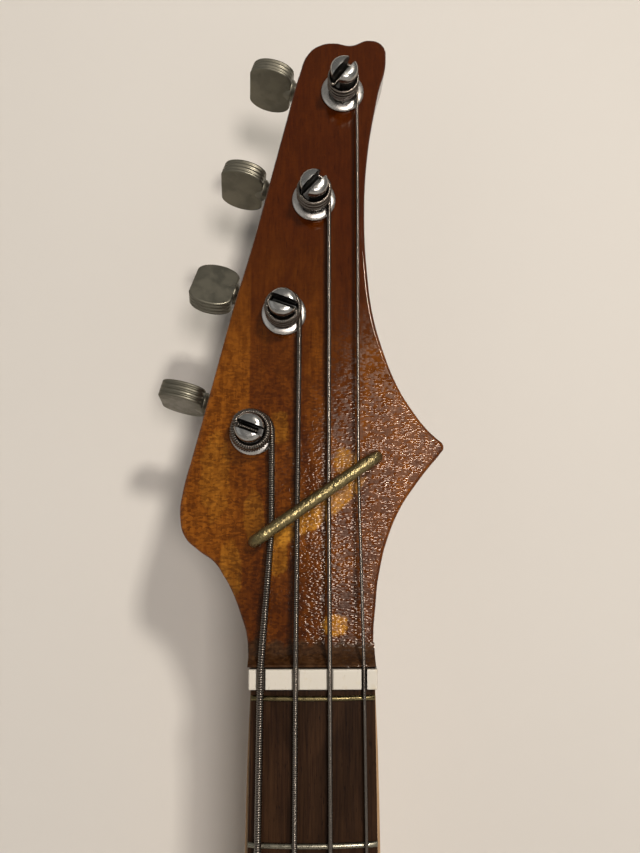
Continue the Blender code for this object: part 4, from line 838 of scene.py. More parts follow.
def nut_ledge():
    """The wood's cove behind the nut, down to the headstock's face."""
    low = BOARD_LEAD + NUT_LENGTH + 2 * GAP
    buried = HEAD_DROP + 2.0
    crest = -0.2
    fall = HEAD_DROP + 0.2
    flat = 0.7
    cove = 5.6
    section = [(buried, low), (crest, low), (crest, low + flat)]
    for step in range(9):
        share = step / 8
        deep = 1 - (1 - share) ** 2.2
        along = flat + cove * share
        section.append((crest + fall * deep + along * math.sin(HEAD_TILT) * share + 0.02, low + along))
    section.append((buried, low + flat + cove))
    return prism("nut ledge", section, (-22.1, 21.2))


def headstock():
    """The flat of the headstock with its rounded edges."""
    slab = plate("headstock", HEAD_OUTLINE, HEAD_THICKNESS, resolution=12)
    round_rims(slab, HEAD_THICKNESS / 2, 1.3, 5)
    return moved(slab, HEAD @ Matrix.Translation((0, 0, -HEAD_THICKNESS / 2)))


def place_on_face(x, up):
    return HEAD @ Matrix.Translation((x, up, 0.0))


def post_place(index):
    return POST_FIRST + POST_STEP * index


def at_neck_screws(y):
    """The four places of the neck's screws at a depth, facing backwards."""
    aside, first, apart = 19.0, 22.0, 52.0
    for x in (-aside, aside):
        for z in (BOARD_END + first, BOARD_END + first + apart):
            yield facing((x, y, z), (0, 1, 0))


def make_neck():
    wood = neck_shaft()
    boolean(wood, headstock(), "UNION")
    boolean(wood, nut_ledge(), "UNION")
    # Holes for the tuners and the rod's feet, the truss rod's channel with its mouth, and the screws' holes
    posts = [post_place(index) for index in range(len(STRING_NAMES))]
    tools = [drill(6.2, -20.0, 4.0, 40, place_on_face(*post)) for post in posts]
    tools += [drill(2.35, -8.3, 4.0, 24, place_on_face(*foot)) for foot in FEET]
    tools.append(block("rod channel", (-3.3, 1.5, BOARD_END + 12), (3.3, 13.5, -14.0)))
    tools.append(drill(4.2, BOARD_END - 4, BOARD_END + 12.3, 24, Matrix.Translation((0, 10.2, 0))))
    tools += [drill(NECK_SCREW_BORE, 0.0, 16.3, 20, place) for place in at_neck_screws(13.2)]
    cut(wood, *tools)
    finished(wood, "neck_wood", "head", ROOT, "lacquered_neck_wood", "neck", angle=38, weighted=True)


# The fingerboard

def make_fingerboard():
    rings = []
    bottom = BOARD_THICKNESS - GAP
    steps = 18
    for z in (BOARD_END, *[fret_z(n) for n in range(19, 0, -2)], 0.0, BOARD_LEAD):
        half = board_half_width(z)
        across = [half * (2 * step / steps - 1) for step in range(steps + 1)]
        rings.append([(x, board_drop(x), z) for x in across] + [(half, bottom, z), (-half, bottom, z)])
    board = lofted("fingerboard", rings)
    cut(board, block("zero fret slot", (-25, -4, -0.6), (25, board_drop(21) + 1.6, 0.6)))
    soften(board, 0.25, 2, 50)
    slot = "rosewood_and_frets"
    finished(board, "rosewood_board", "rosewood", ROOT, slot, "fingerboard", weighted=True)
    wires = join(*[fret(fret_z(number), 0.35, 0.95) for number in range(1, FRET_COUNT + 1)])
    finished(wires, "fret_wires", "fret", ROOT, slot)
    dots = []
    for number in (3, 5, 7, 9, 12, 15, 17, 19):
        z = (fret_z(number) + fret_z(number - 1)) / 2
        for x in ((-9.0, 9.0) if number == 12 else (0.0,)):
            dot = turned("dot", [(3.2, -0.8), (3.2, 0.04), (3.1, 0.09)], 32)
            dots.append(moved(dot, facing((x, board_drop(x), z), (x / BOARD_RADIUS, -1, 0))))
        place = facing((-board_half_width(z), BOARD_THICKNESS / 2, z), (-1, 0, 0))
        dots.append(drill(1.1, -0.8, 0.05, 20, place))
    finished(join(*dots), "position_dots", "pearl", ROOT, "bone")


def fret(z, base, reach):
    """A fret's rounded crown, bent to the board and reaching to both sides of its middle."""
    half = board_half_width(z)
    rounding = 0.7
    rings = []
    for step in range(25):
        x = half * (2 * step / 24 - 1)
        ease = max(0.0, abs(x) - half + rounding) / rounding
        surface = board_drop(x)
        ring = [(x, surface + base, z - reach), (x, surface + base, z + reach)]
        for turn in range(9):
            angle = math.pi * turn / 8
            high = FRET_HEIGHT * (0.2 + 0.8 * math.sin(angle)) * (1 - 0.45 * ease**2)
            ring.append((x, surface - high, z + reach * math.cos(angle)))
        rings.append(ring)
    return lofted("fret", rings)


def make_zero_fret():
    crown = fret(0.0, -GAP, 0.85)
    tang = block("tang", (-20.7, -GAP - 0.4, -0.3), (20.7, 1.6 + board_drop(20.7) - GAP, 0.3))
    boolean(crown, tang, "UNION")
    finished(crown, "zero_fret_brass", "fret_brass", ROOT, "aged_brass", "zero_fret")


def make_nut():
    """The bone nut, with a wide notch round each string."""
    half = NUT_END_WIDTH / 2 + 0.6
    low = BOARD_LEAD + GAP
    high = low + NUT_LENGTH
    nut = block("nut", (-half, -NUT_RISE, low), (half, HEAD_DROP - GAP, high))
    soften(nut, 0.55, 4)
    for index, gauge in enumerate(GAUGES):
        radius = gauge / 2 + 0.42
        place = Matrix.Translation((string_x(index, low + NUT_LENGTH / 2), string_y(index, 0.0), 0))
        slot = block("slot", (-radius, -8, low - 4), (radius, 0, high + 4))
        cut(nut, drill(radius, low - 4, high + 4, 24, place), moved(slot, place))
    finished(nut, "bone_nut", "bone", ROOT, "bone", "nut", angle=35, weighted=True)


def make_retainer():
    """The bent rod over the strings: hammered a little flat in places, its feet in the wood."""
    along = (FEET[1] - FEET[0]).normalized()
    route = []
    bend = 3.6
    for foot, way in zip(FEET, (along, -along)):
        leg = [Vector((foot.x, foot.y, height)) for height in (-8.0, -4.0, 0.0, 2.2)]
        for step in range(9):
            angle = math.pi / 2 * step / 8
            shift = way * bend * (1 - math.cos(angle))
            leg.append(Vector((foot.x + shift.x, foot.y + shift.y, 4.0 + bend * math.sin(angle))))
        route += leg if foot is FEET[0] else leg[::-1]
    bar = tube("retainer", spread(route, 0.5), 2.2, 24, wobble=0.06)
    finished(bar, "string_retainer_rod", "brass", ROOT, "aged_brass", "string_retainer", angle=60,
             place=FACE)


# Tubes and strings

def spread(points, pitch):
    """Places points along a broken line at even distances, its ends kept."""
    line = np.array([tuple(p) for p in points])
    steps = np.linalg.norm(np.diff(line, axis=0), axis=1)
    travel = np.concatenate([[0.0], np.cumsum(steps)])
    count = max(2, int(round(travel[-1] / pitch)) + 1)
    at = np.linspace(0, travel[-1], count)
    return np.stack([np.interp(at, travel, line[:, axis]) for axis in range(3)], 1)


def rounded(points, pitch):
    """A smooth curve through points, as short steps."""
    line = np.array([tuple(p) for p in points])
    ahead = np.concatenate([line[1:], 2 * line[-1:] - line[-2:-1]])
    behind = np.concatenate([2 * line[:1] - line[1:2], line[:-1]])
    made = []
    for index in range(len(line) - 1):
        one, two = line[index], line[index + 1]
        start = (two - behind[index]) / 2
        end = (ahead[index + 1] - one) / 2
        steps = max(2, int(np.linalg.norm(two - one) / pitch))
        for step in range(steps):
            t = step / steps
            made.append(
                one * (2 * t**3 - 3 * t**2 + 1) + start * (t**3 - 2 * t**2 + t)
                + two * (-2 * t**3 + 3 * t**2) + end * (t**3 - t**2)
            )
    made.append(line[-1])
    return made


def tube(name, line, radius, sides, wobble=0.0):
    """A round tube along a line, with one radius or a list of one for each point."""
    line = np.asarray(line, float)
    ways = np.gradient(line, axis=0)
    ways /= np.linalg.norm(ways, axis=1)[:, None]
    side = np.cross(ways[0], (0.0, 0.0, 1.0) if abs(ways[0][2]) < 0.9 else (1.0, 0.0, 0.0))
    frames = np.empty((len(line), 2, 3))
    for index, way in enumerate(ways):
        side = side - way * side.dot(way)
        side /= np.linalg.norm(side)
        frames[index] = side, np.cross(way, side)
    angles = np.arange(sides) * 2 * math.pi / sides
    circle = np.stack([np.cos(angles), np.sin(angles)], 1)
    wide = np.full(len(line), radius)
    if wobble:
        travel = np.arange(len(line))
        wide = wide + wobble * np.sin(travel * 0.9) * np.sin(travel * 0.37 + 1.0)
    rings = line[:, None] + wide[:, None, None] * np.einsum("sk,nkd->nsd", circle, frames)
    return lofted(name, rings)


# For each string: its diameter, and where it crosses the nut and the retainer
GAUGES = (2.5, 2.0, 1.65, 1.15)
NUT_PLACES = (-17.6, -5.9, 5.6, 17.2)
BAR_PLACES = (-14.5, -5.6, 5.4, 15.8)
# The way its post's slot lies, its whole turns round the post, and how far off the post the first one starts
SLOT_ANGLES = (160.0, 340.0, 47.0, 230.0)
TURNS = (2, 2, 3, 3)
LOOSE_TURN = (1.1, 0.0, 0.0, 0.0)
# The depth of its winding's ridges as a share of its diameter, and how far its key is turned in the photo
RIDGE_DEPTHS = (0.15, 0.09, 0.05, 0.04)
KEY_ROLLS = (-80.0, 23.0, -70.0, -71.0)


def string_x(index, z):
    """The strings spread evenly from the nut to the bridge."""
    at_nut = NUT_PLACES[index]
    at_bridge = (index - 1.5) * STRING_SPACING
    return at_nut + (at_bridge - at_nut) * -z / SCALE_LENGTH


def string_y(index, z):
    """A string's depth: it lies just over the zero fret, and higher at the bridge."""
    above_board = FRET_HEIGHT + GAP + GAUGES[index] / 2
    at_nut = board_drop(string_x(index, 0)) - above_board
    at_bridge = board_drop(string_x(index, BRIDGE_Z)) - above_board - 4.4
    return at_nut + (at_bridge - at_nut) * -z / SCALE_LENGTH


def saddle_z(index):
    """The thicker a string, the farther back its saddle."""
    return BRIDGE_Z - 2.0 - 1.2 * (3 - index)


def string_route(index):
    """A string's straight run in the neck's frame and its loops round the post, as the solids have them."""
    radius = GAUGES[index] / 2
    anchor = BRIDGE_Z - BRIDGE_BACK - GAP
    x = string_x(index, BRIDGE_Z)
    lip = PLATE_TOP - ANCHOR_DEPTH
    rest = [Vector((x, lip, z)) for z in (anchor - 5.0, anchor - 1.25, anchor, anchor + BRIDGE_LIP + 2 * GAP)]
    rest.append(Vector((x, string_y(index, BRIDGE_Z), saddle_z(index) - CREST_HALF)))
    for z in (fret_z(12), 0.0, BOARD_LEAD + GAP + NUT_LENGTH):
        rest.append(Vector((string_x(index, z), string_y(index, min(z, 0.0)), z)))
    run = RETAINER_HIGH - RETAINER_LOW
    bar_u = RETAINER_LOW.y + (BAR_PLACES[index] - RETAINER_LOW.x) * run.y / run.x
    rest.append(HEAD @ Vector((BAR_PLACES[index], bar_u, RETAINER_HEIGHT - RETAINER_RADIUS - GAP - radius)))
    wrap = POST_WAIST + GAP + radius
    corner = radius + GAP
    slot = math.radians(SLOT_ANGLES[index])
    offset = max(0.0, SLOT_WIDTH / 2 - corner)
    lip_turn = math.asin(min(1.0, (offset + corner) / POST_WAIST))
    last = TURNS[index] * 2 * math.pi + slot - lip_turn
    top = SLOT_FLOOR + GAP + radius
    pitch = 2 * radius + 0.5
    winding = []
    steps = math.ceil(last / (2 * math.pi) * 36)
    for step in range(steps + 1):
        angle = last * step / steps
        reach = wrap + LOOSE_TURN[index] * max(0.0, 1 - angle / (2 * math.pi))
        rise = top - pitch * (last - angle) / (2 * math.pi)
        winding.append(Vector((reach * math.cos(angle), reach * math.sin(angle), rise)))
    pivot = Vector((math.cos(slot - lip_turn), math.sin(slot - lip_turn))) * (wrap - corner)
    for step in range(1, 6):
        angle = slot - lip_turn + (math.pi / 2 + lip_turn) * step / 5
        winding.append(Vector((pivot.x + corner * math.cos(angle), pivot.y + corner * math.sin(angle), top)))
    winding.append(winding[-1] + Vector((-math.cos(slot), -math.sin(slot), 0)) * (wrap + POST_WAIST / 4))
    centre = post_place(index).to_3d()
    return rest, [HEAD @ (centre + point) for point in winding]


def make_strings(ridges):
    """Round-wound strings: a ridge of winding every few tenths of a millimetre, finer on the thin ones."""
    for index, name in enumerate(STRING_NAMES):
        gauge = GAUGES[index]
        pitch = gauge * ridges
        steps = 4 if gauge > 1.8 else 3
        rest, winding = string_route(index)
        line = spread(list(rest) + rounded(winding, 0.5), pitch / steps)
        notch = RIDGE_DEPTHS[index] * gauge
        radii = gauge / 2 - np.where(np.arange(len(line)) % steps == 0, notch, 0.0)
        # The end held by the bridge swells to twice the string's thickness
        end = rest[2].z - 0.2
        below = line[:, 2] < end
        swelling = np.clip((end - line[below, 2]) / 0.9, 0, 1)
        radii[below] = gauge / 2 * (1.05 + 1.05 * swelling)
        body = "tuner_post_" + name
        solid = "string_" + name
        string = tube(solid, line, radii, 10 if gauge > 1.8 else 8)
        finished(string, "wound_" + solid, "string", None, "steel", solid, angle=70)
        post = joint_place(body + "_turn")
        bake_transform(string)


# The tuners

def key_pad(roll):
    """The finger pad: flat faces, arched rims with three rounded grooves that fade at its ends."""
    thick, long, wide, end_width, start = 6.8, 17.2, 20.5, 11.5, 23.0
    edge = 0.6
    bow = (wide - end_width) / 2
    rim = []
    for step in range(4):
        angle = math.pi / 2 * step / 3
        rim.append((thick / 2 - edge * (1 - math.cos(angle)), edge * (1 - math.sin(angle))))
    stations = [(-height, inset, 0.0) for height, inset in rim]
    count = 36
    span = thick - 2 * edge
    for step in range(1, count):
        groove = (0.5 - 0.5 * math.cos(2 * math.pi * 3 * step / count)) ** 2
        stations.append((-thick / 2 + edge + span * step / count, 0.0, 0.5 * groove))
    stations += [(height, inset, 0.0) for height, inset in reversed(rim)]
    rings = []
    steps = 20
    for height, inset, groove in stations:
        ring = []
        for side in (1, -1):
            for step in range(steps + 1):
                angle = math.pi * (step / steps - 0.5)
                arch = math.cos(angle)
                depth = groove * min(1.0, arch * 2.2)
                length = long / 2 - inset
                width = end_width / 2 + arch * bow - inset - depth
                ring.append((start + long / 2 + side * math.sin(angle) * length, -side * width, height))
        rings.append(ring)
    return moved(lofted("pad", rings), Matrix.Rotation(math.radians(roll), 4, "X"))


def make_keys():
    """Keys with a turned collar and a grooved pad, on the solids' shafts with their worms."""
    collar = [
        (2.4, 17.8), (3.3, 18.1), (3.5, 18.5), (3.2, 19.4), (2.9, 20.6), (3.3, 21.8), (4.1, 22.6),
        (4.2, 23.4), (3.4, 26.0),
    ]
    shaft_end = 18.2
    for index, name in enumerate(STRING_NAMES):
        body = "tuner_key_" + name
        place = joint_place(body + "_turn")
        along = joint_axis(body + "_turn")
        shaft = kept_part(body, "shaft", place + along * shaft_end * MM, along)
        own = tuner_frame(name)
        own.translation = place
        neck = moved(turned("collar", collar, 40), Matrix.Rotation(math.pi / 2, 4, "Y"))
        key = moved(join(neck, key_pad(KEY_ROLLS[index])), own)
        finished(join(key, shaft), "key_" + name, "nickel", body, "satin_nickel", body,
                 weighted=True, place=WORLD)


def make_posts():
    """Slotted posts with rounded lips, over the wheel that each worm turns."""
    base = 2 * GAP + BUSHING_FLANGE
    waist = POST_HEIGHT - 3.4
    profile = [
        (4.0, -POST_FOOT), (4.0, base), (4.75, base), (5.0, base + 0.2), (4.95, base + 0.6),
        (POST_WAIST, base + 1.2), (POST_WAIST, waist - 0.7), (4.75, waist - 0.25), (5.1, waist + 0.1),
    ]
    for wide, down in ((5.1, 1.9), (5.0, 1.3), (4.7, 0.8), (4.2, 0.42), (3.4, 0.16), (2.4, 0.04), (0.6, 0.0)):
        profile.append((wide, POST_HEIGHT - down))
    key_angle = math.atan2(POST_STEP.y, POST_STEP.x) + math.pi / 2
    for index, name in enumerate(STRING_NAMES):
        body = "tuner_post_" + name
        up = joint_axis(body + "_turn")
        wheel = kept_part(body, "wheel", joint_place(body + "_turn") - up * POST_FOOT * MM, up)
        post = turned("post", profile, 64)
        slot = block("slot", (-9, -SLOT_WIDTH / 2, SLOT_FLOOR), (9, SLOT_WIDTH / 2, POST_HEIGHT + 4))
        # A hair's chamfer keeps the corners of the slot's floor out of the rounding that follows
        soften(slot, 0.0001, 1)
        turn = Matrix.Rotation(math.radians(SLOT_ANGLES[index]) - key_angle, 4, "Z")
        cut(post, moved(slot, turn))
        soften(post, 0.3, 3, 50)
        across = turn.to_3x3() @ Vector((0, 1, 0))
        # The barrel under the windings and the slot's walls take the near-black chrome as painted shade
        barrel = []
        for face in post.data.polygons:
            middle = face.center
            on_waist = base + 1.2 < middle.z < waist - 0.6 and middle.xy.length < POST_WAIST + 0.05
            in_slot = SLOT_FLOOR - 0.05 < middle.z < POST_HEIGHT - 0.9
            if (on_waist and abs(face.normal.z) < 0.3
                    or in_slot and abs(middle.dot(across)) < SLOT_WIDTH / 2 + 0.05):
                barrel.append(face.index)
        post = join(moved(post, tuner_frame(name)), wheel)
        finished(post, "post_" + name, "chrome", body, "worn_chrome", body, place=WORLD)
        post.data.materials.append(finishes["tarnished"])
        for number in barrel:
            post.data.polygons[number].material_index = 1


def make_bushings():
    profile = [(4.25, -9.0), (5.9, -9.0)]
    for wide, rise in (
        (5.9, 0.0), (8.0, 0.0), (8.2, 0.2), (8.2, 0.45), (8.0, 0.7), (7.4, 0.95), (6.6, 1.15), (6.0, 1.25),
        (5.4, BUSHING_FLANGE), (4.6, BUSHING_FLANGE), (4.25, 1.0),
    ):
        profile.append((wide, GAP + rise))
    for name in STRING_NAMES:
        bushing = turned("bushing", profile, 72, hollow=True)
        finished(bushing, "bushing_" + name, "flange", ROOT, "worn_chrome", "tuner_bushing_" + name,
                 angle=50, place=tuner_frame(name))


def make_housings():
    """Cast housings with rounded backs, a bored boss for the key's shaft and a screw lug."""
    front = -HEAD_THICKNESS - GAP
    depth = HEAD_THICKNESS + 2 * GAP + HOUSING_WALL / 2 + WORM_ROOM + WORM_RADIUS
    floor = depth + WORM_RADIUS + WORM_ROOM + GAP
    back = floor + HOUSING_WALL
    reach = WORM_OFFSET + WORM_RADIUS + WORM_ROOM + GAP
    near = WORM_OFFSET - WORM_RADIUS + WORM_ROOM + GAP
    along = facing((0, -WORM_OFFSET, -depth), (1, 0, 0))
    lug = Matrix.Translation((0, near + HOUSING_WALL + 1.7, 0))
    screw = Matrix.Translation((0, near + HOUSING_WALL + 2.55, 0))
    model = block("housing", (-11, -reach - HOUSING_WALL, -back), (11, near + HOUSING_WALL, front), 3.5, 7)
    rounded_edges(model, 1.4, 4, lambda one, two: max(one.co.z, two.co.z) < -back + 1e-4)
    boss = turned("boss", [(4.4, 9.0), (4.4, 16.2), (4.2, 16.75), (3.7, 17.0)], 48)
    boolean(model, moved(boss, along), "UNION")
    boolean(model, drill(3.4, front - 2.4, front, 40, lug), "UNION")
    cut(
        model,
        block("cavity", (-8.5, -reach, -floor), (8.5, near, front + 4), 1.75, 5),
        drill(3.25, -back + 0.53, -floor + 4, 32),
        drill(2.7, 0, 21, 32, along),
        drill(1.85, -10.2, 0, 24, along),
        drill(1.4, front - 6, front + 4, 24, screw),
    )
    soften(model, 0.25, 2, 50)
    for name in STRING_NAMES:
        housing = copied(model, "housing")
        finished(housing, "gear_housing_" + name, "plated", ROOT, "worn_chrome",
                 "tuner_housing_" + name, weighted=True, place=tuner_frame(name))
    bpy.data.objects.remove(model)


# The body

BODY_OUTLINE = [
    (35, 353, "corner"), (43, 330), (66, 314), (88, 332), (106, 372), (126, 387), (144, 356), (140, 266),
    (120, 182), (129, 105), (158, 42), (168, -12), (146, -60), (90, -86), (0, -92), (-92, -84), (-154, -46),
    (-174, 20), (-160, 96), (-130, 168), (-122, 232), (-140, 318), (-150, 390), (-136, 434), (-108, 430),
    (-88, 392), (-64, 362), (-35, 355, "corner"),
]
CAVITY_OUTLINE = [
    (80, 72), (98, 91), (119, 78), (138, 38), (147, -6), (136, -40), (112, -58), (92, -44),
    (98, -8), (92, 34),
]
KNOBS = {"neck_volume": (100, 70), "bridge_volume": (121, 30), "tone": (127, -14)}
PICKUPS = {"pickup_neck": 190.0, "pickup_bridge": 92.0}
BODY_BACK = BODY_TOP + BODY_THICKNESS
BODY_MIDDLE = BODY_TOP + BODY_THICKNESS / 2
SKIN = 6.0
JACK = (112, -42)
STRAP_BUTTONS = {
    "horn": facing((-123, BODY_MIDDLE, BRIDGE_Z + 438), (0, 0, 1)),
    "tail": facing((0, BODY_MIDDLE, BRIDGE_Z - 92), (0, 0, -1)),
}


def upright(y):
    """Stands a flat body up behind the bridge, its middle at a depth."""
    return Matrix.Translation((0, y, BRIDGE_Z)) @ Matrix.Rotation(math.pi / 2, 4, "X")


def behind(x, above, y=BODY_TOP):
    """A place given from the middle of the bridge, facing backwards."""
    return facing((x, y, BRIDGE_Z + above), (0, 1, 0))


def pickup_solid(above, grow, low, high):
    """A pickup's outline between two depths, grown all round."""
    long, wide = 46 + grow, 16.5 + grow
    flat = block("pickup", (-long, -wide, low), (long, wide, high), 7.0 + grow, 10)
    return moved(flat, Matrix.Translation((0, 0, BRIDGE_Z + above)) @ Matrix.Rotation(-math.pi / 2, 4, "X"))


def make_body():
    """The horned body with its rounded rims, pocket, pickup wells and control hollow."""
    wood = plate("body", BODY_OUTLINE, BODY_THICKNESS, 14)
    round_rims(wood, BODY_THICKNESS / 2, 7.0, 8)
    moved(wood, upright(BODY_MIDDLE))
    # The neck's pocket, the pickups' wells, the control hollow with its cover's ledge, and the holes
    floor = BOARD_THICKNESS + HEEL_DEPTH + GAP
    rings = []
    for z in (BOARD_END - GAP, HEEL_TOP + 40.0):
        half = board_half_width(z) + NECK_PROUD + GAP
        rings.append([(-half, 5, z), (half, 5, z), (half, floor, z), (-half, floor, z)])
    tools = [lofted("pocket", rings)]
    tools += [pickup_solid(above, 0.6, BODY_TOP - 4, BODY_TOP + 17.0 + GAP) for above in PICKUPS.values()]
    hollow = plate("control hollow", CAVITY_OUTLINE, 40.0)
    tools.append(moved(hollow, upright(BODY_TOP + SKIN + 20.0)))
    ledge = plate("cover ledge", CAVITY_OUTLINE, 6.6, grow=5.3)
    tools.append(moved(ledge, upright(BODY_BACK + 0.7)))
    tools += [drill(5.0, -4, 10, 40, behind(*place)) for place in KNOBS.values()]
    tools.append(drill(5.9, -4, 10, 40, behind(*JACK)))
    tools += [drill(NECK_SCREW_BORE, floor - 4, 56, 24, place) for place in at_neck_screws(0)]
    tools += [drill(2.3, -20.3, 4, 24, place) for place in STRAP_BUTTONS.values()]
    cut(wood, *tools)
    finished(wood, "body_wood", "body", ROOT, "lacquered_body_wood", "body", angle=38, weighted=True)


def make_cover():
    """The back cover over the controls, with its countersunk screws."""
    cover = plate("cover", CAVITY_OUTLINE, 2.0, grow=5.0)
    round_rims(cover, 1.0, 0.4, 3)
    moved(cover, upright(BODY_BACK - GAP - 1.0))
    finished(cover, "rear_cover", "cover", ROOT, "black_plastic", "control_cover", weighted=True)
    screws = []
    for x, above in ((80, 79), (120, 84), (149, 2), (131, -52), (91, -50)):
        screws.append(moved(cross_screw(2.6, 0.5), behind(x, above, BODY_BACK - GAP - 0.25)))
    finished(join(*screws), "rear_cover_screws", "steel", ROOT, "steel")


def cross_screw(radius, height):
    """A domed screw head, its underside at zero, with a cross recess."""
    profile = [(radius, -0.2)]
    for wide, high in ((1.0, 0.3), (0.9, 0.62), (0.68, 0.88), (0.35, 1.0)):
        profile.append((radius * wide, height * high))
    head = turned("screw head", profile + [(0.2, height)], 32)
    return cut_cross(head, radius * 0.52, radius * 0.1, height * 0.45, height + 1)


def threaded(radius, low, high, pitch, depth):
    """Profile points of a screw's shank with its thread as close ridges."""
    points = []
    for step in range(int((high - low) / pitch)):
        points += [(radius, low + step * pitch), (radius - depth, low + (step + 0.5) * pitch)]
    return points + [(radius, high)]


# The pickups, bridge and controls

def make_pickups():
    """Covers with rounded edges, and two pole pieces under each string."""
    front = BODY_TOP - 7.0
    for name, above in PICKUPS.items():
        cover = pickup_solid(above, 0.0, front, front + 24.0)
        soften(cover, 1.0, 4, 60)
        finished(cover, name + "_cover", "plastic", name, "black_plastic", name, weighted=True)
        poles = []
        for index in range(len(STRING_NAMES)):
            for side in (-4.0, 4.0):
                pole = turned("pole", [(2.4, -1.0), (2.4, 0.4), (2.2, 0.6), (0.5, 0.6)], 28)
                x = string_x(index, BRIDGE_Z + above) + side
                poles.append(moved(pole, facing((x, front, BRIDGE_Z + above), (0, -1, 0))))
        finished(join(*poles), name + "_poles", "steel", name, "steel")


def saddle_screw_place(index):
    return Matrix.Translation((string_x(index, BRIDGE_Z) + 5.0, SADDLE_SCREW_Y, 0))


def make_bridge_plate():
    """The bent plate, with a hole for each string and each saddle's screw, and the screws that hold it."""
    low = BRIDGE_Z - BRIDGE_BACK
    half = 41
    piece = block("bridge plate", (-half, PLATE_TOP, low), (half, PLATE_TOP + BRIDGE_PLATE, BRIDGE_Z + 22))
    lip = block("lip", (-half, PLATE_TOP - BRIDGE_LIP_HEIGHT, low), (half, PLATE_TOP + 0.5, low + BRIDGE_LIP))
    boolean(piece, lip, "UNION")
    soften(piece, 0.5, 3, 60)
    tools = []
    for index, gauge in enumerate(GAUGES):
        anchor = Matrix.Translation((string_x(index, BRIDGE_Z), PLATE_TOP - ANCHOR_DEPTH, 0))
        for wide, place in ((gauge / 2 + GAP, anchor), (1.8, saddle_screw_place(index))):
            tools.append(drill(wide, low - 4, low + BRIDGE_LIP + 4, 28, place))
    cut(piece, *tools)
    soften(piece, 0.12, 1, 50)
    finished(piece, "bridge_base", "plated", ROOT, "worn_chrome", "bridge_plate", weighted=True)
    screws = []
    for x, above in ((-36, 16), (-18, 16), (0, 16), (18, 16), (36, 16), (-36.5, -42), (36.5, -42)):
        place = facing((x, PLATE_TOP, BRIDGE_Z + above), (0, -1, 0))
        screws.append(moved(cross_screw(3.0, 1.4), place))
    finished(join(*screws), "bridge_screws", "steel", ROOT, "steel")


def make_saddles():
    """Saddle blocks with an eased crest, each on two threaded feet and with the screw that moves it."""
    low = BRIDGE_Z - BRIDGE_BACK - GAP
    lip = BRIDGE_Z - BRIDGE_BACK + BRIDGE_LIP + GAP
    head = [
        (0.4, low - 2.4), (2.0, low - 2.4), (2.5, low - 2.1), (2.8, low - 1.5), (2.8, low - 0.2), (2.7, low),
    ]
    half = 8.75
    for index, name in enumerate(STRING_NAMES):
        x = string_x(index, BRIDGE_Z)
        z = saddle_z(index)
        across = GAUGES[index] / 2 + GAP
        string = string_y(index, BRIDGE_Z)
        crest = string + across
        section = [(8, -6), (4, -6), (-0.5, -CREST_HALF), (-0.5, CREST_HALF), (2, 6), (8, 6)]
        saddle = prism("saddle", [(crest + y, z + along) for y, along in section], (x - half, x + half))
        soften(saddle, 0.45, 3, 25)
        for side in (-5.5, 5.5):
            foot = turned("foot", threaded(1.5, crest + 5.0, PLATE_TOP - GAP, 0.5, 0.12), 24)
            boolean(saddle, moved(foot, facing((x + side, 0, z), (0, 1, 0))), "UNION")
        # The notch falls away behind the crest as steeply as the string does, so the block can slide back
        floor = string + 0.125
        fall = (PLATE_TOP - ANCHOR_DEPTH - string) / (z - CREST_HALF - lip)
        kink = SADDLE_TRAVEL - CREST_HALF
        run = [(floor, z + 9), (floor, z + kink), (floor + fall * (kink + 9), z - 9)]
        notch = tube("notch", spread([Vector((x, *point)) for point in run], 0.6), across, 28)
        opening = prism("opening", run + [(-40.0, z - 9), (-40.0, z + 9)], (x - across, x + across))
        cut(saddle, notch, opening, drill(1.8, z - 10, z + 10, 28, saddle_screw_place(index)))
        body = "saddle_" + name
        finished(saddle, "saddle_block_" + name, "plated", body, "worn_chrome", body, weighted=True)
        screw = turned("saddle screw", head + threaded(1.5, low, z + 14.0, 0.5, 0.14), 24)
        cut_cross(screw, 1.5, 0.3, low - 4, low - 1.3)
        body = "saddle_screw_" + name
        finished(screw, "intonation_screw_" + name, "steel", body, "steel", body,
                 place=NECK @ saddle_screw_place(index))


def knob_solid():
    """A knob about Z with twenty flutes, its top below zero, on its pot's shaft."""
    foot = -2.6
    rings = []
    for height, trim, share in (
        (-17.6, 2.0, 0.0), (-17.5, 1.3, 0.0), (-17.1, 0.6, 0.3), (-16.5, 0.15, 0.8), (-15.8, 0.0, 1.0),
        (-6.0, 0.0, 1.0), (-4.6, 0.0, 0.3), (-4.2, 0.0, 0.0), (-2.9, 0.0, 0.0), (foot, 0.3, 0.0),
    ):
        ring = []
        for step in range(180):
            angle = math.pi * step / 90
            flute = 0.5 * share * (0.5 - 0.5 * math.cos(20 * angle)) ** 0.6
            wide = 9.5 - trim - flute
            ring.append((wide * math.cos(angle), wide * math.sin(angle), height))
        rings.append(ring)
    return boolean(lofted("knob", rings), drill(3.0, foot - 4, SKIN + 9.0, 32), "UNION")


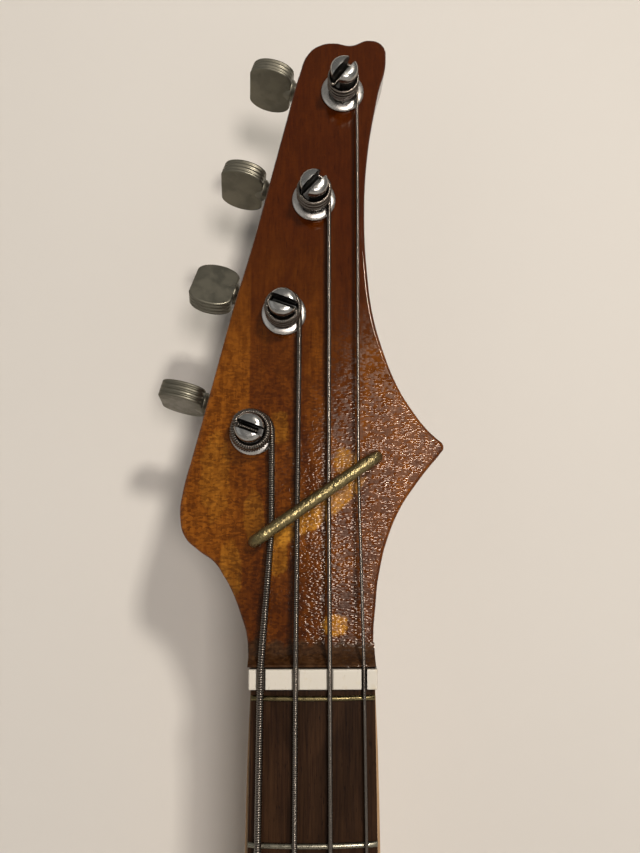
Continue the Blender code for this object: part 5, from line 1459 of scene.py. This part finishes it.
def make_controls():
    """Fluted knobs with a pointer line, on pots whose bushings carry a hexagon nut, and the jack."""
    can = [
        (3.25, -2.3), (4.5, -2.3), (4.7, -2.1), (4.7, SKIN + GAP), (8.0, SKIN + GAP), (8.5, SKIN + 0.8),
        (8.5, SKIN + 8.8), (8.0, SKIN + 9.3), (3.25, SKIN + 9.3),
    ]
    for name, place in KNOBS.items():
        stand = NECK @ behind(*place)
        nut = turned("nut", [(6.7, -2.3), (6.7, -GAP)], 6)
        soften(nut, 0.25, 2, 40)
        cut(nut, drill(4.6, -5, 5, 32))
        pot = join(turned("can", can, 48, hollow=True), nut)
        finished(pot, "control_" + name, "steel", ROOT, "worn_chrome", "pot_" + name, place=stand)
        body = "knob_" + name
        finished(knob_solid(), "fluted_" + body, "plastic", body, "black_plastic", body,
                 angle=30, weighted=True, place=stand)
        line = block("pointer", (2.2, -0.5, -17.64), (7.4, 0.5, -17.2))
        finished(line, "pointer_" + body, "pearl", body, "bone", place=stand)
    socket = [
        (3.3, -1.9), (4.6, -1.9), (4.8, -1.6), (5.2, -1.3), (9.6, -1.3), (10.2, -1.0), (10.5, -0.6),
        (10.5, -GAP), (5.6, -GAP), (5.6, 22), (3.3, 22),
    ]
    finished(turned("jack", socket, 56, hollow=True), "jack_socket", "plated", ROOT, "worn_chrome",
             "output_jack", place=NECK @ behind(*JACK))


def make_fasteners():
    """The neck plate with its four screws, and the strap buttons."""
    flat = block("neck plate", (-26, BOARD_END + 15.0, 0), (26, BOARD_END + 81.0, 2.0), 4.0, 8)
    soften(flat, 0.45, 3, 60)
    moved(flat, Matrix(((1, 0, 0, 0), (0, 0, 1, BODY_BACK + GAP), (0, 1, 0, 0), (0, 0, 0, 1))))
    cut(flat, *[drill(NECK_SCREW_BORE, 40, 60, 28, place) for place in at_neck_screws(0)])
    finished(flat, "joint_plate", "plated", ROOT, "worn_chrome", "neck_plate", weighted=True)
    under_head = BODY_BACK + 2.6
    length = under_head - BOARD_THICKNESS - HEEL_DEPTH + 12.0
    shank = threaded(2.3, -length + 4.0, -8.0, 1.6, 0.45)
    for number, place in enumerate(at_neck_screws(under_head), 1):
        screw = turned("screw", [(0.2, -length), (1.8, -length + 3.0), *shank, (2.3, 0.0), (4.6, 0.0)], 28)
        boolean(screw, cross_screw(4.6, 2.6), "UNION")
        finished(screw, f"joint_screw_{number}", "steel", ROOT, "worn_chrome",
                 f"neck_screw_{number}", place=NECK @ place)
    profile = [
        (0.2, -20.0), (1.6, -17.4), *threaded(2.0, -17, -2, 1.4, 0.35), (2.0, GAP), (5.6, GAP), (5.95, 0.7),
        (5.9, 1.6), (5.2, 2.8), (4.5, 4.0), (4.2, 5.4), (4.25, 7.2), (4.8, 8.6), (6.0, 9.7), (6.9, 10.3),
        (7.0, 10.8), (6.7, 11.3), (5.9, 11.7), (4.6, 12.0), (0.4, 12.0),
    ]
    for name, place in STRAP_BUTTONS.items():
        button = cut_cross(turned("button", profile, 48), 2.0, 0.4, 11.0, 13.0)
        finished(button, "strap_pin_" + name, "plated", ROOT, "worn_chrome", "strap_button_" + name,
                 place=NECK @ place)


def finish_truss_rod():
    """The rod inside the neck keeps its solid, and takes the finish of its metal."""
    for slot in frame["nodes"]["truss_rod"].material_slots:
        slot.material = finishes["steel"]


# The stage

def add_light(name, place, aim, size, power, colour=(1.0, 1.0, 1.0)):
    bpy.ops.object.light_add(type="AREA", location=place)
    light = bpy.context.object
    light.name = name
    light.data.size = size
    light.data.energy = power
    light.data.color = colour
    light.rotation_euler = (Vector(aim) - Vector(place)).to_track_quat("-Z", "Y").to_euler()
    light.visible_camera = False


def seen_rays(tree):
    """One for what the camera sees, straight or in metal or glass."""
    ray = node(tree, "ShaderNodeLightPath").outputs
    seen = maths(tree, "MAXIMUM", ray["Is Camera Ray"], ray["Is Glossy Ray"])
    return maths(tree, "MAXIMUM", seen, ray["Is Transmission Ray"])


def plain_surface(name, colour, one_sided=False, lift=0.0):
    """A matt surface. A one-sided one shows from its front only, and lets lamps behind it shine through."""
    made, tree, shader, place = new_material(name, Roughness=0.9, Specular_IOR_Level=0.1)
    tone = ramp(tree, noise(tree, place, 3.0, 2.0), 0.3, 0.7, 0.97, 1.0)
    tree.links.new(mixed(tree, tone, (0.0, 0.0, 0.0), colour), shader.inputs["Base Color"])
    if lift:
        tree.links.new(mixed(tree, seen_rays(tree), (0.0, 0.0, 0.0), colour), shader.inputs["Emission Color"])
        shader.inputs["Emission Strength"].default_value = lift
    if one_sided:
        behind = node(tree, "ShaderNodeNewGeometry").outputs["Backfacing"]
        shadow = node(tree, "ShaderNodeLightPath").outputs["Is Shadow Ray"]
        hidden = maths(tree, "MAXIMUM", behind, shadow)
        shown = maths(tree, "SUBTRACT", 1.0, hidden)
        clear = node(tree, "ShaderNodeBsdfTransparent")
        blend = node(tree, "ShaderNodeMixShader", {0: shown, 1: clear.outputs[0], 2: shader.outputs[0]})
        tree.links.new(blend.outputs[0], tree.nodes["Material Output"].inputs["Surface"])
    return made


def make_stage(stage):
    scene = bpy.context.scene
    scene.view_settings.view_transform = "Standard"
    ground = -1.12
    bpy.ops.mesh.primitive_plane_add(size=12.0, location=(0, 0, ground))
    floor = bpy.context.object
    floor.name = "floor"
    floor.data.materials.append(plain_surface("floor surface", stage.floor_colour, lift=0.35))
    place = (0, stage.wall_distance, ground + 2.5)
    bpy.ops.mesh.primitive_plane_add(size=5.0, location=place, rotation=(math.pi / 2, 0, 0))
    wall = bpy.context.object
    wall.name = "backdrop"
    wall.data.materials.append(plain_surface("backdrop surface", stage.wall_colour, one_sided=True))
    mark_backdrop(floor, wall)
    aim = (0.0, 0.0, 0.05)
    add_light("key light", (0.46, -1.25, 0.72), aim, 0.14, stage.key_power, (1.0, 0.94, 0.86))
    add_light("glint light", (0.27, -1.46, 0.08), (0.02, 0, 0), 0.3, stage.glint_power, (1.0, 0.92, 0.87))
    add_light("fill light", (-1.4, -1.3, 0.1), (0, 0, -0.4), 1.4, stage.fill_power)
    add_light("low light", (0.9, -1.6, -0.9), (0, 0, -0.7), 1.2, stage.fill_power)
    add_light("back light", (0.6, 1.6, 0.3), (0, 0, -0.4), 1.4, stage.back_power)
    world = bpy.data.worlds.new("studio")
    world.use_nodes = True
    tree = world.node_tree
    shown = mixed(tree, seen_rays(tree), stage.world_colour, stage.background_colour)
    tree.links.new(shown, tree.nodes["Background"].inputs["Color"])
    scene.world = world
    bpy.ops.object.camera_add()
    camera = bpy.context.object
    camera.name = "photograph's camera"
    # The lens that puts the picture's plane 700 pixels away, of the 853 that the picture is high
    camera.data.sensor_width = 36.0
    camera.data.lens = camera.data.sensor_width * 700.0 / 853.0
    camera.data.clip_start = 0.01
    # Its place and turn come from a fit to the frets, the posts and the bushings
    camera.location = NECK @ Vector((-1.6184, -238.5615, 82.2769))
    turn = Matrix.Identity(3)
    for angle, name in ((-0.0159, "Z"), (0.0384, "X"), (-0.0017, "Y"), (math.pi / 2, "X")):
        turn @= Matrix.Rotation(angle, 3, name)
    camera.rotation_euler = turn.to_euler()
    scene.camera = camera


# The add-on

def colour_property(name, description, default):
    return bpy.props.FloatVectorProperty(
        name=name, description=description, default=default, subtype="COLOR", size=3, min=0.0, max=1.0
    )


class BASS_colours(bpy.types.PropertyGroup):
    """Colours of the bass guitar's woods and metals"""

    red_brown: colour_property("Red-brown stain", "The stain's darker tone", (0.07, 0.0165, 0.0017))
    orange: colour_property("Orange stain", "The stain's lighter tone", (0.145, 0.042, 0.003))
    golden: colour_property("Golden strip", "The lighter wood on the bass side", (0.17, 0.053, 0.0045))
    yellow: colour_property("Yellow patches", "Where the stain is thin", (0.34, 0.15, 0.016))
    dark_top: colour_property("Dark tip", "The stain towards the headstock's tip", (0.055, 0.0095, 0.0007))
    near_nut: colour_property("Greyer by the nut", "The greyish wood beside the nut", (0.044, 0.022, 0.011))
    maple: colour_property("Maple", "The neck's natural wood", (0.52, 0.34, 0.19))
    rosewood: colour_property("Rosewood", "The fingerboard", (0.024, 0.0105, 0.004))
    bone: colour_property("Bone", "The nut", (0.62, 0.58, 0.5))
    brass: colour_property("Brass", "The retainer and the zero fret", (0.2, 0.16, 0.075))
    nickel: colour_property("Nickel", "The keys", (0.17, 0.158, 0.122))
    chrome: colour_property("Chrome", "The posts and the plates", (0.36, 0.35, 0.33))
    string: colour_property("Strings", "The wound strings", (0.15, 0.13, 0.11))


class BASS_sizes(bpy.types.PropertyGroup):
    """Sizes of the bass guitar that can be changed"""

    ridge_share: bpy.props.FloatProperty(
        name="Winding pitch", description="Distance between ridges as a share of the string's gauge",
        default=0.32, min=0.1, max=1.0, subtype="FACTOR",
    )


class BASS_stage(bpy.types.PropertyGroup):
    """Light, floor and backdrop"""

    floor_colour: colour_property("Floor", "The plain floor", (0.72, 0.7, 0.67))
    wall_colour: colour_property("Backdrop", "The plain backdrop", (0.7, 0.67, 0.62))
    world_colour: colour_property("Studio", "The even light all round", (0.07, 0.07, 0.07))
    background_colour: colour_property("Background", "What shows behind the floor", (0.3, 0.295, 0.285))
    wall_distance: bpy.props.FloatProperty(
        name="Backdrop distance", description="How far behind the hanging point the backdrop stands",
        default=0.085, min=0.06, max=2.0, unit="LENGTH",
    )
    key_power: bpy.props.FloatProperty(name="Key light", description="Watts", default=13.0, min=0.0)
    glint_power: bpy.props.FloatProperty(name="Glint light", description="Watts", default=10.0, min=0.0)
    fill_power: bpy.props.FloatProperty(name="Fill lights", description="Watts", default=2.0, min=0.0)
    back_power: bpy.props.FloatProperty(name="Back light", description="Watts", default=10.0, min=0.0)


class BASS_OT_finishes(bpy.types.Operator):
    """Make the finishes, and give the truss rod its own"""

    bl_idname = "bass.finishes"
    bl_label = "Finishes"

    def execute(self, context):
        make_finishes(context.scene.bass_colours)
        finish_truss_rod()
        return {"FINISHED"}


class BASS_OT_neck(bpy.types.Operator):
    """Build the neck and headstock"""

    bl_idname = "bass.neck"
    bl_label = "Neck and headstock"

    def execute(self, context):
        make_neck()
        return {"FINISHED"}


class BASS_OT_fingerboard(bpy.types.Operator):
    """Build the fingerboard, frets, zero fret and nut"""

    bl_idname = "bass.fingerboard"
    bl_label = "Fingerboard and nut"

    def execute(self, context):
        make_fingerboard()
        make_zero_fret()
        make_nut()
        return {"FINISHED"}


class BASS_OT_tuners(bpy.types.Operator):
    """Build the keys, posts, bushings and housings"""

    bl_idname = "bass.tuners"
    bl_label = "Tuners"

    def execute(self, context):
        make_keys()
        make_posts()
        make_bushings()
        make_housings()
        return {"FINISHED"}


class BASS_OT_strings(bpy.types.Operator):
    """Build the wound strings and the rod that holds them down"""

    bl_idname = "bass.strings"
    bl_label = "Strings and retainer"

    def execute(self, context):
        make_retainer()
        make_strings(context.scene.bass_sizes.ridge_share)
        return {"FINISHED"}


class BASS_OT_body(bpy.types.Operator):
    """Build the body, its back cover and the neck's fixings"""

    bl_idname = "bass.body"
    bl_label = "Body"

    def execute(self, context):
        make_body()
        make_cover()
        make_fasteners()
        return {"FINISHED"}


class BASS_OT_hardware(bpy.types.Operator):
    """Build the pickups, the bridge and the controls"""

    bl_idname = "bass.hardware"
    bl_label = "Pickups, bridge and controls"

    def execute(self, context):
        make_pickups()
        make_bridge_plate()
        make_saddles()
        make_controls()
        return {"FINISHED"}


class BASS_OT_stage(bpy.types.Operator):
    """Set up the floor, backdrop, light and camera"""

    bl_idname = "bass.stage"
    bl_label = "Stage"

    def execute(self, context):
        make_stage(context.scene.bass_stage)
        return {"FINISHED"}


class BASS_PT_panel(bpy.types.Panel):
    """Lists the pieces that can be built"""

    bl_label = "Bass guitar"
    bl_space_type = "VIEW_3D"
    bl_region_type = "UI"
    bl_category = "Bass"

    def draw(self, context):
        for group in (context.scene.bass_colours, context.scene.bass_sizes, context.scene.bass_stage):
            for name in group.__annotations__:
                self.layout.prop(group, name)
        for operator in OPERATORS:
            self.layout.operator(operator.bl_idname)


OPERATORS = (
    BASS_OT_finishes, BASS_OT_neck, BASS_OT_fingerboard, BASS_OT_tuners, BASS_OT_strings,
    BASS_OT_body, BASS_OT_hardware, BASS_OT_stage,
)
GROUPS = (BASS_colours, BASS_sizes, BASS_stage)


def register():
    for made in (*GROUPS, *OPERATORS, BASS_PT_panel):
        bpy.utils.register_class(made)
    bpy.types.Scene.bass_colours = bpy.props.PointerProperty(type=BASS_colours)
    bpy.types.Scene.bass_sizes = bpy.props.PointerProperty(type=BASS_sizes)
    bpy.types.Scene.bass_stage = bpy.props.PointerProperty(type=BASS_stage)


def unregister():
    del bpy.types.Scene.bass_stage
    del bpy.types.Scene.bass_sizes
    del bpy.types.Scene.bass_colours
    for made in (BASS_PT_panel, *reversed(OPERATORS), *reversed(GROUPS)):
        bpy.utils.unregister_class(made)


def main():
    register()
    bpy.ops.object.select_all(action="DESELECT")
    bpy.ops.bass.finishes()
    bpy.ops.bass.neck()
    bpy.ops.bass.fingerboard()
    bpy.ops.bass.tuners()
    bpy.ops.bass.strings()
    bpy.ops.bass.body()
    bpy.ops.bass.hardware()
    bpy.ops.bass.stage()
    [[list(corner) for corner in box] for box in (cad_box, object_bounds())]


if __name__ == "__main__":
    main()
